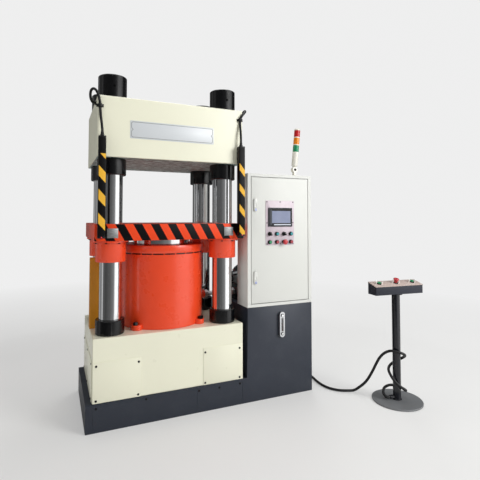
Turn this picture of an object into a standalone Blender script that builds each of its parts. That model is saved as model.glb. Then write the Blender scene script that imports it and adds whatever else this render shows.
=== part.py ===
"""Four-column up-stroke hydraulic press with its oil tank, electrical cabinet and two-hand stand.

Metres, +Z up, +X to the operator's right, the operator stands at -Y. The origin is on the floor
under the axis of the main cylinder.
"""
import math

import bmesh
import bpy
from mathutils import Matrix, Vector

# Fits shared by all pieces
GAP = 0.0003
SINK = 0.002
OVERRUN = 0.02
WELD = 0.00001

# Plinth, bed, platen and crown, stacked up the columns
PLINTH_HEIGHT = 0.178
PLINTH_LEDGE = 0.040
PLINTH_DEPTH = 0.712
BED_WIDTH = 1.050
BED_DEPTH = 0.700
BED_HEIGHT = 0.404
CROWN_WIDTH = 1.028
CROWN_DEPTH = 0.728
CROWN_HEIGHT = 0.398
DAYLIGHT_TO_CROWN = 1.165
PLATE_EDGE = 0.004

# Columns with their nuts and collars
COLUMN_SPACING_X = 0.812
COLUMN_SPACING_Y = 0.468
COLUMN_RADIUS = 0.074
THREAD_DEPTH = 0.0015
COLLAR_RADIUS = 0.095
COLLAR_CHAMFER = 0.004
TOP_NUT_HEIGHT = 0.160
NUT_ABOVE_THREAD = 0.004
UPPER_COLLAR_HEIGHT = 0.111
COLLAR_SEAT_DEPTH = 0.001
COLLAR_SEAT_CLEARANCE = 0.0025
LOWER_COLLAR_HEIGHT = 0.097
COLLAR_SPLIT = 0.004
TOMMY_HOLE_RADIUS = 0.008
TOMMY_HOLE_DEPTH = 0.016
ROUND_STEPS = 20

# Main cylinder, its gland and the ram
BARREL_RADIUS = 0.312
BARREL_WALL = 0.090
BARREL_HEIGHT = 0.522
BARREL_FLOOR = 0.080
GROOVE_HEIGHT = 0.006
GROOVE_DEPTH = 0.005
GLAND_PROUD = 0.004
GLAND_HEIGHT = 0.054
GLAND_CHAMFER = 0.005
RAM_CLEARANCE = 0.012
RAM_CHAMFER = 0.004
RAM_REST_LIFT = 0.006
BIG_ROUND_STEPS = 40
LUG_REACH = 0.045
LUG_WIDTH = 0.078
LUG_HEIGHT = 0.034
LUG_CORNER_SHARE = 0.46
LUG_BOLT_RADIUS = 0.017
LUG_BOLT_HEIGHT = 0.022
PORT_RADIUS = 0.034
PORT_LENGTH = 0.036

# Moving platen with its guide sleeves
PLATEN_WIDTH = 1.050
PLATEN_DEPTH = 0.724
PLATEN_THICKNESS = 0.111
PLATEN_CLEARANCE = 0.042
SLEEVE_RADIUS = 0.100
SLEEVE_LENGTH = 0.141
SLEEVE_FLANGE_RADIUS = 0.119
SLEEVE_FLANGE_THICKNESS = 0.012
TARGET_PLATE_WIDTH = 0.070
TARGET_PLATE_HEIGHT = 0.062
TARGET_PLATE_THICKNESS = 0.003
TARGET_PLATE_INSET = 0.082
TARGET_PLATE_DROP = 0.026

# Bed covers
COVER_THICKNESS = 0.003
FRONT_COVER_WIDTH = 0.305
FRONT_COVER_HEIGHT = 0.254
FRONT_COVER_EDGE = 0.003
SIDE_COVER_DEPTH = 0.640

# Light curtains with their cables
POST_INSET = 0.027
POST_WIDTH = 0.045
POST_DEPTH = 0.045
POST_HEIGHT = 0.650
POST_ABOVE_CROWN_FACE = 0.124
POST_CLEARANCE = 0.011
POST_EDGE = 0.003
POST_WINDOW_WIDTH = 0.022
POST_WINDOW_DEPTH = 0.002
POST_CAP_HEIGHT = 0.014
BRACKET_WIDTH = 0.040
BRACKET_HEIGHT = 0.060
BRACKET_RISE = 0.030
CURTAIN_CABLE_RADIUS = 0.0075
CABLE_CLIP_WIDTH = 0.034
CABLE_CLIP_HEIGHT = 0.016
GROMMET_RADIUS = 0.016
GROMMET_THICKNESS = 0.010

# Folded guard on the bed, in front of the stroke switches
GUARD_WIDTH = 0.064
GUARD_DEPTH = 0.060
GUARD_HEIGHT = 0.487
GUARD_FRONT = -0.080
GUARD_EDGE_INSET = 0.001
GUARD_SHEET = 0.003
GUARD_FOOT = 0.030

# Oil tank beside the bed
TANK_GAP = 0.0355
TANK_WIDTH = 0.565
TANK_HEIGHT = 0.686
FILLER_RADIUS = 0.032
FILLER_HEIGHT = 0.070
FILLER_SHARE = 0.62
HATCH_RADIUS = 0.140
HATCH_THICKNESS = 0.012
HATCH_HEIGHT = 0.360
HATCH_BOLTS = 8
HATCH_BOLT_RADIUS = 0.010
HATCH_BOLT_HEIGHT = 0.008
DRAIN_RADIUS = 0.016
DRAIN_LENGTH = 0.022
DRAIN_HEIGHT = 0.060
GAUGE_WIDTH = 0.042
GAUGE_HEIGHT = 0.190
GAUGE_DEPTH = 0.024
GAUGE_DROP = 0.142
GAUGE_WINDOW_WIDTH = 0.018
GAUGE_WINDOW_HEIGHT = 0.096
GAUGE_WINDOW_DEPTH = 0.006
GAUGE_BOLT_RADIUS = 0.011
GAUGE_BOLT_HEIGHT = 0.006
GAUGE_BOLT_SPACING = 0.136

# Electrical cabinet and its door
CABINET_HEIGHT = 1.000
CABINET_DEPTH = 0.178
CABINET_SHEET = 0.002
DOOR_FRAME_SIDE = 0.0285
DOOR_FRAME_END = 0.0235
DOOR_GAP = 0.004
DOOR_THICKNESS = 0.018
DOOR_SHEET = 0.002
HINGE_INSET = 0.008
HINGE_PIN_RADIUS = 0.003
HINGE_PIN_REACH = 0.012
HINGE_TAB_WIDTH = 0.026
HINGE_TAB_DEPTH = 0.018
LOCK_WIDTH = 0.028
LOCK_HEIGHT = 0.096
LOCK_DEPTH = 0.010
LOCK_CORNER = 0.0085
LOCK_FROM_EDGE = 0.033
LOCK_RISES = {"lower": 0.1935, "upper": 0.7365}
LOCK_WALL = 0.004
LEVER_THICKNESS = 0.006
LEVER_LENGTH = 0.066
LEVER_PIN_RADIUS = 0.0018
KEY_RADIUS = 0.006
KEY_HEIGHT = 0.003

# Control panel, touch screen and controls on the door
PANEL_WIDTH = 0.250
PANEL_HEIGHT = 0.340
PANEL_THICKNESS = 0.003
PANEL_FROM_LEFT = 0.120
PANEL_FROM_TOP = 0.1745
SCREEN_WIDTH = 0.212
SCREEN_HEIGHT = 0.144
SCREEN_DEPTH = 0.0065
SCREEN_RISE = 0.043
SCREEN_GLASS_WIDTH = 0.170
SCREEN_GLASS_HEIGHT = 0.104
SCREEN_GLASS_RISE = 0.006
SCREEN_GLASS_DEPTH = 0.001
CONTROL_PITCH = 0.062
CONTROL_ROW_DROPS = {"upper": 0.084, "lower": 0.146}
BEZEL_RADIUS = 0.0145
BEZEL_HEIGHT = 0.016
CAP_RADIUS = 0.0115
CAP_PROUD = 0.005
CAP_BEHIND = 0.006
SELECTOR_CLEARANCE = 0.0005
GRIP_WIDTH = 0.007
GRIP_HEIGHT = 0.014
SELECTOR_TURN_DEG = 45
MUSHROOM_RADIUS = 0.020
MUSHROOM_HEIGHT = 0.016
MUSHROOM_CLEARANCE = 0.007
MUSHROOM_SHARES = ((0, 1), (0.55, 0.90), (0.88, 0.62), (1, 0.30))
SMALL_ROUND_STEPS = 12

# Mounting plate and electrics inside the cabinet
MOUNTING_MARGIN = 0.040
MOUNTING_SHEET = 0.003
MOUNTING_STANDOFF = 0.008
DEVICE_DEPTH = 0.055
DUCT_HEIGHT = 0.040
DUCT_DEPTH = 0.045
DUCT_ROWS = 4
DEVICE_SIZES = ((0.046, 0.085), (0.046, 0.085), (0.054, 0.092), (0.072, 0.100), (0.072, 0.100))
PLC_WIDTH = 0.210
PLC_HEIGHT = 0.100
PLC_DEPTH = 0.060
DEVICE_GAP = 0.012

# Signal tower on the cabinet
TOWER_FROM_SIDE = 0.0915
TOWER_FROM_FRONT = 0.101
TOWER_LEAN_DEG = 5.7
TOWER_PIVOT_RISE = 0.057
TOWER_RADIUS = 0.0245
TOWER_BODY_HEIGHT = 0.112
TOWER_BODY_RISE = 0.034
TOWER_LENS_HEIGHT = 0.055
TOWER_BAND_HEIGHT = 0.0075
TOWER_CAP_HEIGHT = 0.012
TOWER_CAP_SHARES = ((0.75, 0.7), (0, 1))
TOWER_NECK_SHARE = 0.72
TOWER_HUB_RADIUS = 0.022
TOWER_HUB_THICKNESS = 0.014
TOWER_EAR_THICKNESS = 0.008
TOWER_FOOT_RADIUS = 0.032
TOWER_FOOT_THICKNESS = 0.010
TOWER_STEM_WIDTH = 0.016
TOWER_BOLT_RADIUS = 0.004

# Motor, pump and valves on the tank, behind the cabinet
MOTOR_RADIUS = 0.112
MOTOR_FIN = 0.014
MOTOR_FINS = 16
MOTOR_FIN_SHARES = (0, 0.3, 0.5, 0.8)
MOTOR_LENGTH = 0.250
MOTOR_AXIS_RISE = 0.132
MOTOR_AXIS_FROM_REAR = 0.151
MOTOR_FROM_LEFT = 0.206
MOTOR_END_THICKNESS = 0.018
MOTOR_END_RADIUS = 0.120
FAN_COVER_LENGTH = 0.070
FAN_COVER_RADIUS = 0.118
FAN_COVER_TAPER_SHARE = 0.86
MOTOR_FOOT_WIDTH = 0.040
MOTOR_FOOT_SPAN = 0.230
MOTOR_FOOT_THICKNESS = 0.014
MOTOR_FOOT_SHARES = (0.15, 0.85)
MOTOR_LEG_SHARE = 0.25
TERMINAL_BOX_WIDTH = 0.110
TERMINAL_BOX_DEPTH = 0.100
TERMINAL_BOX_HEIGHT = 0.060
BELL_LENGTH = 0.080
BELL_RADIUS = 0.078
BELL_FLANGE_RADIUS = 0.108
BELL_NECK_RADIUS = 0.062
PUMP_RADIUS = 0.055
PUMP_LENGTH = 0.085
PUMP_PORT_RADIUS = 0.020
BLOCK_WIDTH = 0.150
BLOCK_DEPTH = 0.130
BLOCK_HEIGHT = 0.124
BLOCK_FROM_LEFT = 0.050
VALVE_SHARES = (0.25, 0.75)
VALVE_WIDTH = 0.046
VALVE_HEIGHT = 0.060
VALVE_LENGTH = 0.094
SOLENOID_RADIUS = 0.021
SOLENOID_LENGTH = 0.030
PIPE_RADIUS = 0.017
PIPE_NUT_RADIUS = 0.030
PIPE_NUT_LENGTH = 0.028

# Two-hand operator stand
STAND_X = 1.598
STAND_Y = -0.754
STAND_TURN_DEG = -5.75
STAND_BASE_RADIUS = 0.178
STAND_BASE_THICKNESS = 0.012
POLE_RADIUS = 0.0285
POLE_WALL = 0.003
STAND_BOX_WIDTH = 0.416
STAND_BOX_DEPTH = 0.092
STAND_BOX_BOTTOM = 0.789
STAND_BOX_FRONT_HEIGHT = 0.062
STAND_BOX_REAR_HEIGHT = 0.086
STAND_LID_THICKNESS = 0.003
STAND_LID_OVERHANG = 0.002
PALM_SPACING = 0.296
PALM_RADIUS = 0.020
PALM_HEIGHT = 0.016
PALM_STEM_RADIUS = 0.012
PALM_SEAT = 0.008
PALM_GUARD_RADIUS = 0.035
PALM_GUARD_WALL = 0.003
PALM_GUARD_HEIGHT = 0.024
STOP_RADIUS = 0.020
STOP_COLLAR_RADIUS = 0.026
STOP_COLLAR_HEIGHT = 0.010
STOP_CLEARANCE = 0.005

# Flexible conduit between the cabinet and the stand
CONDUIT_RADIUS = 0.010
CONDUIT_GLAND_RADIUS = 0.017
CONDUIT_GLAND_LENGTH = 0.030
CONDUIT_GLAND_RISE = 0.074
CONDUIT_GLAND_FROM_SIDE = 0.0655
CONDUIT_STEP = 0.046

# Levels worked out from the sizes above
BED_TOP = PLINTH_HEIGHT + BED_HEIGHT
CROWN_BOTTOM = BED_TOP + DAYLIGHT_TO_CROWN
CROWN_TOP = CROWN_BOTTOM + CROWN_HEIGHT
BARREL_TOP = BED_TOP + BARREL_HEIGHT
GLAND_TOP = BARREL_TOP + GLAND_HEIGHT
PLATEN_REST = GLAND_TOP + PLATEN_CLEARANCE
POST_SPACING = CROWN_WIDTH - 2 * POST_INSET
POST_TOP = CROWN_BOTTOM + POST_ABOVE_CROWN_FACE
POST_BOTTOM = POST_TOP - POST_HEIGHT
TANK_LEFT = BED_WIDTH / 2 + TANK_GAP
TANK_RIGHT = TANK_LEFT + TANK_WIDTH
TANK_FRONT = -PLINTH_DEPTH / 2
CABINET_BACK = TANK_FRONT + CABINET_DEPTH
CABINET_TOP = TANK_HEIGHT + CABINET_HEIGHT
THREAD_RADIUS = COLUMN_RADIUS - THREAD_DEPTH
BARREL_BORE_RADIUS = BARREL_RADIUS - BARREL_WALL
GLAND_RADIUS = BARREL_RADIUS + GLAND_PROUD
RAM_RADIUS = BARREL_BORE_RADIUS - RAM_CLEARANCE
DOOR_LEFT = TANK_LEFT + DOOR_FRAME_SIDE + DOOR_GAP
DOOR_RIGHT = TANK_RIGHT - DOOR_FRAME_SIDE - DOOR_GAP
DOOR_BOTTOM = TANK_HEIGHT + DOOR_FRAME_END + DOOR_GAP
DOOR_TOP = CABINET_TOP - DOOR_FRAME_END - DOOR_GAP
LOCK_X = DOOR_LEFT + LOCK_FROM_EDGE
LOCK_HEIGHTS = {name: DOOR_BOTTOM + rise for name, rise in LOCK_RISES.items()}
HINGE_X = DOOR_RIGHT - HINGE_INSET
HINGE_Y = TANK_FRONT + HINGE_INSET
PANEL_FACE = TANK_FRONT - GAP - PANEL_THICKNESS
PANEL_CENTRE_X = DOOR_LEFT + PANEL_FROM_LEFT + PANEL_WIDTH / 2
PANEL_CENTRE_Z = DOOR_TOP - PANEL_FROM_TOP - PANEL_HEIGHT / 2
TOWER_X = TANK_RIGHT - TOWER_FROM_SIDE
TOWER_Y = TANK_FRONT + TOWER_FROM_FRONT
MOTOR_LEFT = TANK_LEFT + MOTOR_FROM_LEFT
MOTOR_AXIS_Y = PLINTH_DEPTH / 2 - MOTOR_AXIS_FROM_REAR
BLOCK_LEFT = TANK_LEFT + BLOCK_FROM_LEFT
PORT_HEIGHT = TANK_HEIGHT + BLOCK_HEIGHT / 2
CONDUIT_GLAND_X = TANK_RIGHT - CONDUIT_GLAND_FROM_SIDE
CONDUIT_GLAND_HEIGHT = TANK_HEIGHT + CONDUIT_GLAND_RISE
STAND_TURN = Matrix.Rotation(math.radians(STAND_TURN_DEG), 4, "Z")
STAND_PLACE = Matrix.Translation((STAND_X, STAND_Y, 0)) @ STAND_TURN

COLUMN_PLACES = {
    "front_left": (-COLUMN_SPACING_X / 2, -COLUMN_SPACING_Y / 2),
    "front_right": (COLUMN_SPACING_X / 2, -COLUMN_SPACING_Y / 2),
    "rear_left": (-COLUMN_SPACING_X / 2, COLUMN_SPACING_Y / 2),
    "rear_right": (COLUMN_SPACING_X / 2, COLUMN_SPACING_Y / 2),
}

# Rotations that turn a shape made along +Z to another axis
ALONG_X = Matrix.Rotation(math.radians(90), 4, "Y")
ALONG_Y = Matrix.Rotation(math.radians(90), 4, "X")


def clear_scene():
    for item in list(bpy.data.objects):
        bpy.data.objects.remove(item, do_unlink=True)


def new_collection(name):
    collection = bpy.data.collections.new(name)
    bpy.context.scene.collection.children.link(collection)
    return collection


clear_scene()
PRESS = new_collection("hydraulic_press")
TOOLS = new_collection("cutters_and_guides")


def material(name, colour, roughness, metallic):
    """A Principled material of one colour."""
    made = bpy.data.materials.new(name)
    made.use_nodes = True
    shader = made.node_tree.nodes["Principled BSDF"]
    shader.inputs["Base Color"].default_value = (*colour, 1)
    shader.inputs["Roughness"].default_value = roughness
    shader.inputs["Metallic"].default_value = metallic
    return made


CREAM = material("cream_paint", (0.82, 0.80, 0.66), 0.35, 0)
ORANGE = material("orange_paint", (0.86, 0.10, 0.04), 0.30, 0)
SLATE = material("slate_paint", (0.045, 0.052, 0.070), 0.40, 0)
OFF_WHITE = material("off_white_paint", (0.80, 0.80, 0.77), 0.40, 0)
CHROME = material("chromed_steel", (0.75, 0.75, 0.75), 0.10, 1)
BLACK_STEEL = material("blackened_steel", (0.012, 0.012, 0.014), 0.30, 0)
BLACK_PLASTIC = material("black_plastic", (0.015, 0.015, 0.016), 0.45, 0)
MUSTARD = material("mustard_paint", (0.45, 0.22, 0.02), 0.40, 0)
STEEL = material("bare_steel", (0.50, 0.50, 0.50), 0.35, 1)
LAMINATE = material("panel_laminate", (0.78, 0.72, 0.74), 0.40, 0)
SCREEN_GREY = material("screen_housing", (0.10, 0.11, 0.14), 0.35, 0)
RED = material("red_plastic", (0.62, 0.02, 0.02), 0.30, 0)
GREEN = material("green_plastic", (0.01, 0.35, 0.16), 0.30, 0)
TEAL = material("teal_plastic", (0.05, 0.35, 0.35), 0.30, 0)
MOTOR_BLUE = material("motor_paint", (0.05, 0.13, 0.22), 0.40, 0)
LAMP_WHITE = material("lamp_white", (0.80, 0.80, 0.76), 0.35, 0)


def add_box(bm, low, high):
    """Adds the box between two corners to a bmesh."""
    low, high = Vector(low), Vector(high)
    size = high - low
    place = Matrix.Translation((low + high) / 2) @ Matrix.Diagonal((*size, 1))
    bmesh.ops.create_cube(bm, size=1, matrix=place)


def add_round(bm, radius, low, high, place, steps=SMALL_ROUND_STEPS, top_radius=None):
    """Adds a closed cylinder or cone along the local Z of a matrix, from low to high."""
    top_radius = radius if top_radius is None else top_radius
    centre = place @ Matrix.Translation((0, 0, (low + high) / 2))
    bmesh.ops.create_cone(
        bm,
        cap_ends=True,
        segments=steps,
        radius1=radius,
        radius2=top_radius,
        depth=high - low,
        matrix=centre,
    )


def make_object(name, mesh, collection):
    made = bpy.data.objects.new(name, mesh)
    collection.objects.link(made)
    return made


def finish_mesh(bm, name):
    mesh = bpy.data.meshes.new(name)
    bm.to_mesh(mesh)
    bm.free()
    return mesh


def piece(name, bm, paint):
    """Turns a bmesh into one named sub-part."""
    made = make_object(name, finish_mesh(bm, name), PRESS)
    made.data.materials.append(paint)
    return made


def hidden(name, bm):
    """Turns a bmesh into a guide that cuts or joins, and is no part itself."""
    made = make_object(name, finish_mesh(bm, name), TOOLS)
    made.hide_render = True
    made.display_type = "WIRE"
    return made


def combine(target, bm, operation):
    """Adds a Boolean modifier that uses a bmesh of one or more closed bodies."""
    modifier = target.modifiers.new(operation.lower(), "BOOLEAN")
    modifier.operation = operation
    modifier.solver = "EXACT"
    modifier.use_self = True
    modifier.object = hidden(f"{target.name}_{operation.lower()}_{len(target.modifiers)}", bm)


def round_edges(target, width, segments=1):
    modifier = target.modifiers.new("rounded_edges", "BEVEL")
    modifier.width = width
    modifier.segments = segments
    modifier.limit_method = "ANGLE"


def set_origin(target, place):
    """Moves a piece's origin to its joint's axis and leaves its shape where it is."""
    target.data.transform(place.inverted())
    target.matrix_world = place


def turned(name, profile, paint, steps, place=Matrix.Identity(4), closed=False):
    """A turned sub-part: a profile of (radius, height) points, spun by a Screw modifier."""
    mesh = bpy.data.meshes.new(name)
    count = len(profile)
    edges = [(i, i + 1) for i in range(count - 1)]
    if closed:
        edges.append((count - 1, 0))
    mesh.from_pydata([(radius, 0, height) for radius, height in profile], edges, [])
    made = make_object(name, mesh, PRESS)
    made.data.materials.append(paint)
    made.matrix_world = place
    screw = made.modifiers.new("spin", "SCREW")
    screw.steps = steps
    screw.render_steps = steps
    screw.use_merge_vertices = True
    screw.merge_threshold = WELD
    screw.use_smooth_shade = True
    return made


def smooth_route(points, spacing):
    """Points along a Catmull-Rom curve through a route, about one spacing apart."""
    route = [Vector(point) for point in points]
    ends = [2 * route[0] - route[1], *route, 2 * route[-1] - route[-2]]
    smooth = [route[0]]
    for i in range(1, len(ends) - 2):
        before, start, end, after = ends[i - 1:i + 3]
        count = max(1, round((end - start).length / spacing))
        for k in range(1, count + 1):
            t = k / count
            smooth.append(
                0.5 * (
                    2 * start
                    + (end - before) * t
                    + (2 * before - 5 * start + 4 * end - after) * t ** 2
                    + (3 * start - before - 3 * end + after) * t ** 3
                )
            )
    return smooth


def piece_from_curve(name, curve, paint):
    """Turns a curve into a sub-part whose caps are welded on."""
    guide = make_object(f"{name}_curve", curve, TOOLS)
    bpy.context.view_layer.update()
    evaluated = guide.evaluated_get(bpy.context.evaluated_depsgraph_get())
    mesh = bpy.data.meshes.new_from_object(evaluated)
    bm = bmesh.new()
    bm.from_mesh(mesh)
    bmesh.ops.remove_doubles(bm, verts=bm.verts, dist=WELD)
    bmesh.ops.recalc_face_normals(bm, faces=bm.faces)
    bpy.data.meshes.remove(mesh)
    bpy.data.objects.remove(guide, do_unlink=True)
    return piece(name, bm, paint)


def tube(name, points, radius, paint, resolution=2):
    """A closed tube along points, made as a curve and turned into a mesh."""
    curve = bpy.data.curves.new(name, "CURVE")
    curve.dimensions = "3D"
    curve.bevel_depth = radius
    curve.bevel_resolution = resolution
    curve.use_fill_caps = True
    spline = curve.splines.new("POLY")
    spline.points.add(len(points) - 1)
    for knot, place in zip(spline.points, points):
        knot.co = (*place, 1)
    return piece_from_curve(name, curve, paint)


def at(x, y, z=0):
    return Matrix.Translation((x, y, z))


def column_bores(radius, low, high):
    """The four column holes as one cutter."""
    bm = bmesh.new()
    for x, y in COLUMN_PLACES.values():
        add_round(bm, radius, low, high, at(x, y), ROUND_STEPS)
    return bm


def make_oil_tank():
    """Welded plinth under the bed with the oil tank rising beside it."""
    bm = bmesh.new()
    add_box(
        bm,
        (-BED_WIDTH / 2 - PLINTH_LEDGE, -PLINTH_DEPTH / 2, 0),
        (TANK_RIGHT, PLINTH_DEPTH / 2, PLINTH_HEIGHT),
    )
    tank = piece("oil_tank", bm, SLATE)
    bm = bmesh.new()
    add_box(bm, (TANK_LEFT, -PLINTH_DEPTH / 2, 0), (TANK_RIGHT, PLINTH_DEPTH / 2, TANK_HEIGHT))
    combine(tank, bm, "UNION")
    round_edges(tank, PLATE_EDGE)
    bm = bmesh.new()
    neck_x = TANK_LEFT + FILLER_SHARE * TANK_WIDTH
    neck_y = CABINET_BACK + 2.5 * FILLER_RADIUS
    neck_top = TANK_HEIGHT + FILLER_HEIGHT / 2
    add_round(bm, FILLER_RADIUS, TANK_HEIGHT - SINK, neck_top, at(neck_x, neck_y))
    side = at(TANK_RIGHT, 0, HATCH_HEIGHT) @ ALONG_X
    add_round(bm, HATCH_RADIUS, -SINK, HATCH_THICKNESS, side, BIG_ROUND_STEPS // 2)
    for i in range(HATCH_BOLTS):
        turn = Matrix.Rotation(math.tau * i / HATCH_BOLTS, 4, "Z")
        spot = side @ turn @ at(HATCH_RADIUS - 2 * HATCH_BOLT_RADIUS, 0)
        bolt_top = HATCH_THICKNESS + HATCH_BOLT_HEIGHT
        add_round(bm, HATCH_BOLT_RADIUS, HATCH_THICKNESS - SINK, bolt_top, spot, 6)
    drain = at(TANK_RIGHT, 0, DRAIN_HEIGHT) @ ALONG_X
    add_round(bm, DRAIN_RADIUS, -SINK, DRAIN_LENGTH, drain, 6)
    combine(tank, bm, "UNION")
    bm = bmesh.new()
    cap_low = neck_top - SINK
    add_round(bm, 1.4 * FILLER_RADIUS, cap_low, TANK_HEIGHT + FILLER_HEIGHT, at(neck_x, neck_y))
    combine(tank, bm, "UNION")


def make_bed():
    """Heavy lower plate that the columns and the main cylinder stand on."""
    bm = bmesh.new()
    half_x, half_y = BED_WIDTH / 2, BED_DEPTH / 2
    add_box(bm, (-half_x, -half_y, PLINTH_HEIGHT + GAP), (half_x, half_y, BED_TOP))
    bed = piece("bed", bm, CREAM)
    round_edges(bed, PLATE_EDGE)
    bore = THREAD_RADIUS + GAP
    combine(bed, column_bores(bore, PLINTH_HEIGHT - OVERRUN, BED_TOP + OVERRUN), "DIFFERENCE")


def make_front_covers():
    """Screwed sheet covers at the front corners of the bed."""
    face = -BED_DEPTH / 2 - GAP
    low = PLINTH_HEIGHT + FRONT_COVER_EDGE
    for side, sign in (("left", -1), ("right", 1)):
        outer = sign * (BED_WIDTH / 2 - FRONT_COVER_EDGE)
        inner = outer - sign * FRONT_COVER_WIDTH
        left, right = sorted((outer, inner))
        bm = bmesh.new()
        add_box(bm, (left, face - COVER_THICKNESS, low), (right, face, low + FRONT_COVER_HEIGHT))
        piece(f"bed_cover_front_{side}", bm, CREAM)


def make_side_cover():
    """The same kind of cover on the bed's left face."""
    face = -BED_WIDTH / 2 - GAP
    low = PLINTH_HEIGHT + FRONT_COVER_EDGE
    high = low + FRONT_COVER_HEIGHT
    half = SIDE_COVER_DEPTH / 2
    bm = bmesh.new()
    add_box(bm, (face - COVER_THICKNESS, -half, low), (face, half, high))
    piece("bed_cover_side", bm, CREAM)


def make_column(corner, x, y):
    """Chromed column: full diameter between the collars, threaded above and below them."""
    top = CROWN_TOP + TOP_NUT_HEIGHT - NUT_ABOVE_THREAD
    bottom = PLINTH_HEIGHT + GAP
    upper = CROWN_BOTTOM + COLLAR_SEAT_DEPTH - UPPER_COLLAR_HEIGHT - GAP
    lower = BED_TOP + LOWER_COLLAR_HEIGHT + 2 * GAP
    profile = [
        (0, top),
        (THREAD_RADIUS, top),
        (THREAD_RADIUS, upper),
        (COLUMN_RADIUS, upper),
        (COLUMN_RADIUS, lower),
        (THREAD_RADIUS, lower),
        (THREAD_RADIUS, bottom),
        (0, bottom),
    ]
    turned(f"column_{corner}", profile, CHROME, ROUND_STEPS, at(x, y))


def ring_profile(inner, outer, low, high, chamfer):
    """Section of a turned ring with both outer edges chamfered."""
    return [
        (outer - chamfer, high),
        (outer, high - chamfer),
        (outer, low + chamfer),
        (outer - chamfer, low),
        (inner, low),
        (inner, high),
    ]


def make_top_nut(corner, x, y):
    """Tall round nut over the crown, with a hole for a tommy bar."""
    inner = THREAD_RADIUS + GAP
    low = CROWN_TOP + GAP
    high = CROWN_TOP + TOP_NUT_HEIGHT
    profile = ring_profile(inner, COLLAR_RADIUS, low, high, COLLAR_CHAMFER)
    nut = turned(f"top_nut_{corner}", profile, BLACK_STEEL, ROUND_STEPS, at(x, y), True)
    bm = bmesh.new()
    spot = at(x, y - COLLAR_RADIUS, (low + high) / 2) @ ALONG_Y
    add_round(bm, TOMMY_HOLE_RADIUS, -TOMMY_HOLE_DEPTH, OVERRUN, spot, 8)
    combine(nut, bm, "DIFFERENCE")


def make_upper_collar(corner, x, y):
    """Adjusting nut under the crown, in its spot-faced seat."""
    inner = THREAD_RADIUS + GAP
    high = CROWN_BOTTOM + COLLAR_SEAT_DEPTH - GAP
    low = high + GAP - UPPER_COLLAR_HEIGHT
    profile = ring_profile(inner, COLLAR_RADIUS, low, high, COLLAR_CHAMFER)
    turned(f"upper_collar_{corner}", profile, BLACK_STEEL, ROUND_STEPS, at(x, y), True)


def make_lower_collar(corner, x, y):
    """Split nut that clamps the column to the bed."""
    inner = THREAD_RADIUS + GAP
    low = BED_TOP + GAP
    high = BED_TOP + LOWER_COLLAR_HEIGHT
    profile = ring_profile(inner, COLLAR_RADIUS, low, high, COLLAR_CHAMFER)
    collar = turned(f"lower_collar_{corner}", profile, BLACK_STEEL, ROUND_STEPS, at(x, y), True)
    bm = bmesh.new()
    half = COLLAR_SPLIT / 2
    add_box(
        bm,
        (x - half, y - COLLAR_RADIUS - OVERRUN, low - OVERRUN),
        (x + half, y, high + OVERRUN),
    )
    combine(collar, bm, "DIFFERENCE")


def make_crown():
    """Fixed upper plate, with a shallow spot face round each column for its collar."""
    bm = bmesh.new()
    half_x, half_y = CROWN_WIDTH / 2, CROWN_DEPTH / 2
    add_box(bm, (-half_x, -half_y, CROWN_BOTTOM), (half_x, half_y, CROWN_TOP))
    crown = piece("crown", bm, CREAM)
    round_edges(crown, PLATE_EDGE)
    bore = THREAD_RADIUS + GAP
    combine(crown, column_bores(bore, CROWN_BOTTOM - OVERRUN, CROWN_TOP + OVERRUN), "DIFFERENCE")
    seat = COLLAR_RADIUS + COLLAR_SEAT_CLEARANCE
    seats = column_bores(seat, CROWN_BOTTOM - OVERRUN, CROWN_BOTTOM + COLLAR_SEAT_DEPTH)
    combine(crown, seats, "DIFFERENCE")


def make_cylinder_barrel():
    """Main cylinder: a thick cup, grooved below its gland, with four bolted lugs and a port."""
    base = BED_TOP + GAP
    floor = base + BARREL_FLOOR
    profile = [
        (0, floor),
        (BARREL_BORE_RADIUS, floor),
        (BARREL_BORE_RADIUS, BARREL_TOP),
        (BARREL_RADIUS - GROOVE_DEPTH, BARREL_TOP),
        (BARREL_RADIUS - GROOVE_DEPTH, BARREL_TOP - GROOVE_HEIGHT),
        (BARREL_RADIUS, BARREL_TOP - GROOVE_HEIGHT),
        (BARREL_RADIUS, base),
        (0, base),
    ]
    barrel = turned("cylinder_barrel", profile, ORANGE, BIG_ROUND_STEPS)
    bm = bmesh.new()
    lug_low = BARREL_RADIUS - LUG_REACH / 2
    lug_high = BARREL_RADIUS + LUG_REACH
    bolts = bmesh.new()
    for corner in range(4):
        turn = Matrix.Rotation(math.radians(45 + 90 * corner), 4, "Z")
        block = bmesh.new()
        add_box(block, (lug_low, -LUG_WIDTH / 2, base), (lug_high, LUG_WIDTH / 2, base + LUG_HEIGHT))
        upright = [edge for edge in block.edges if is_outer_upright(edge, lug_high)]
        corner_radius = LUG_CORNER_SHARE * LUG_WIDTH
        bmesh.ops.bevel(block, geom=upright, offset=corner_radius, segments=4, affect="EDGES")
        bmesh.ops.transform(block, matrix=turn, verts=block.verts)
        append_mesh(bm, block)
        spot = turn @ at(BARREL_RADIUS + LUG_REACH / 2, 0, base + LUG_HEIGHT)
        add_round(bolts, LUG_BOLT_RADIUS, -SINK, LUG_BOLT_HEIGHT, spot, 12)
    port = at(0, 0, PORT_HEIGHT) @ ALONG_X
    add_round(bm, PORT_RADIUS, BARREL_RADIUS - PORT_LENGTH, BARREL_RADIUS + PORT_LENGTH, port)
    combine(barrel, bm, "UNION")
    combine(barrel, bolts, "UNION")


def is_outer_upright(edge, reach):
    """True for a vertical edge on the outer face of a lug."""
    first, second = (vert.co for vert in edge.verts)
    upright = abs(first.z - second.z) > SINK
    outer = min(first.x, second.x) > reach - SINK
    return upright and outer


def append_mesh(bm, other):
    """Copies one bmesh into another and frees it."""
    mesh = finish_mesh(other, "scratch")
    bm.from_mesh(mesh)
    bpy.data.meshes.remove(mesh)


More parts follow.
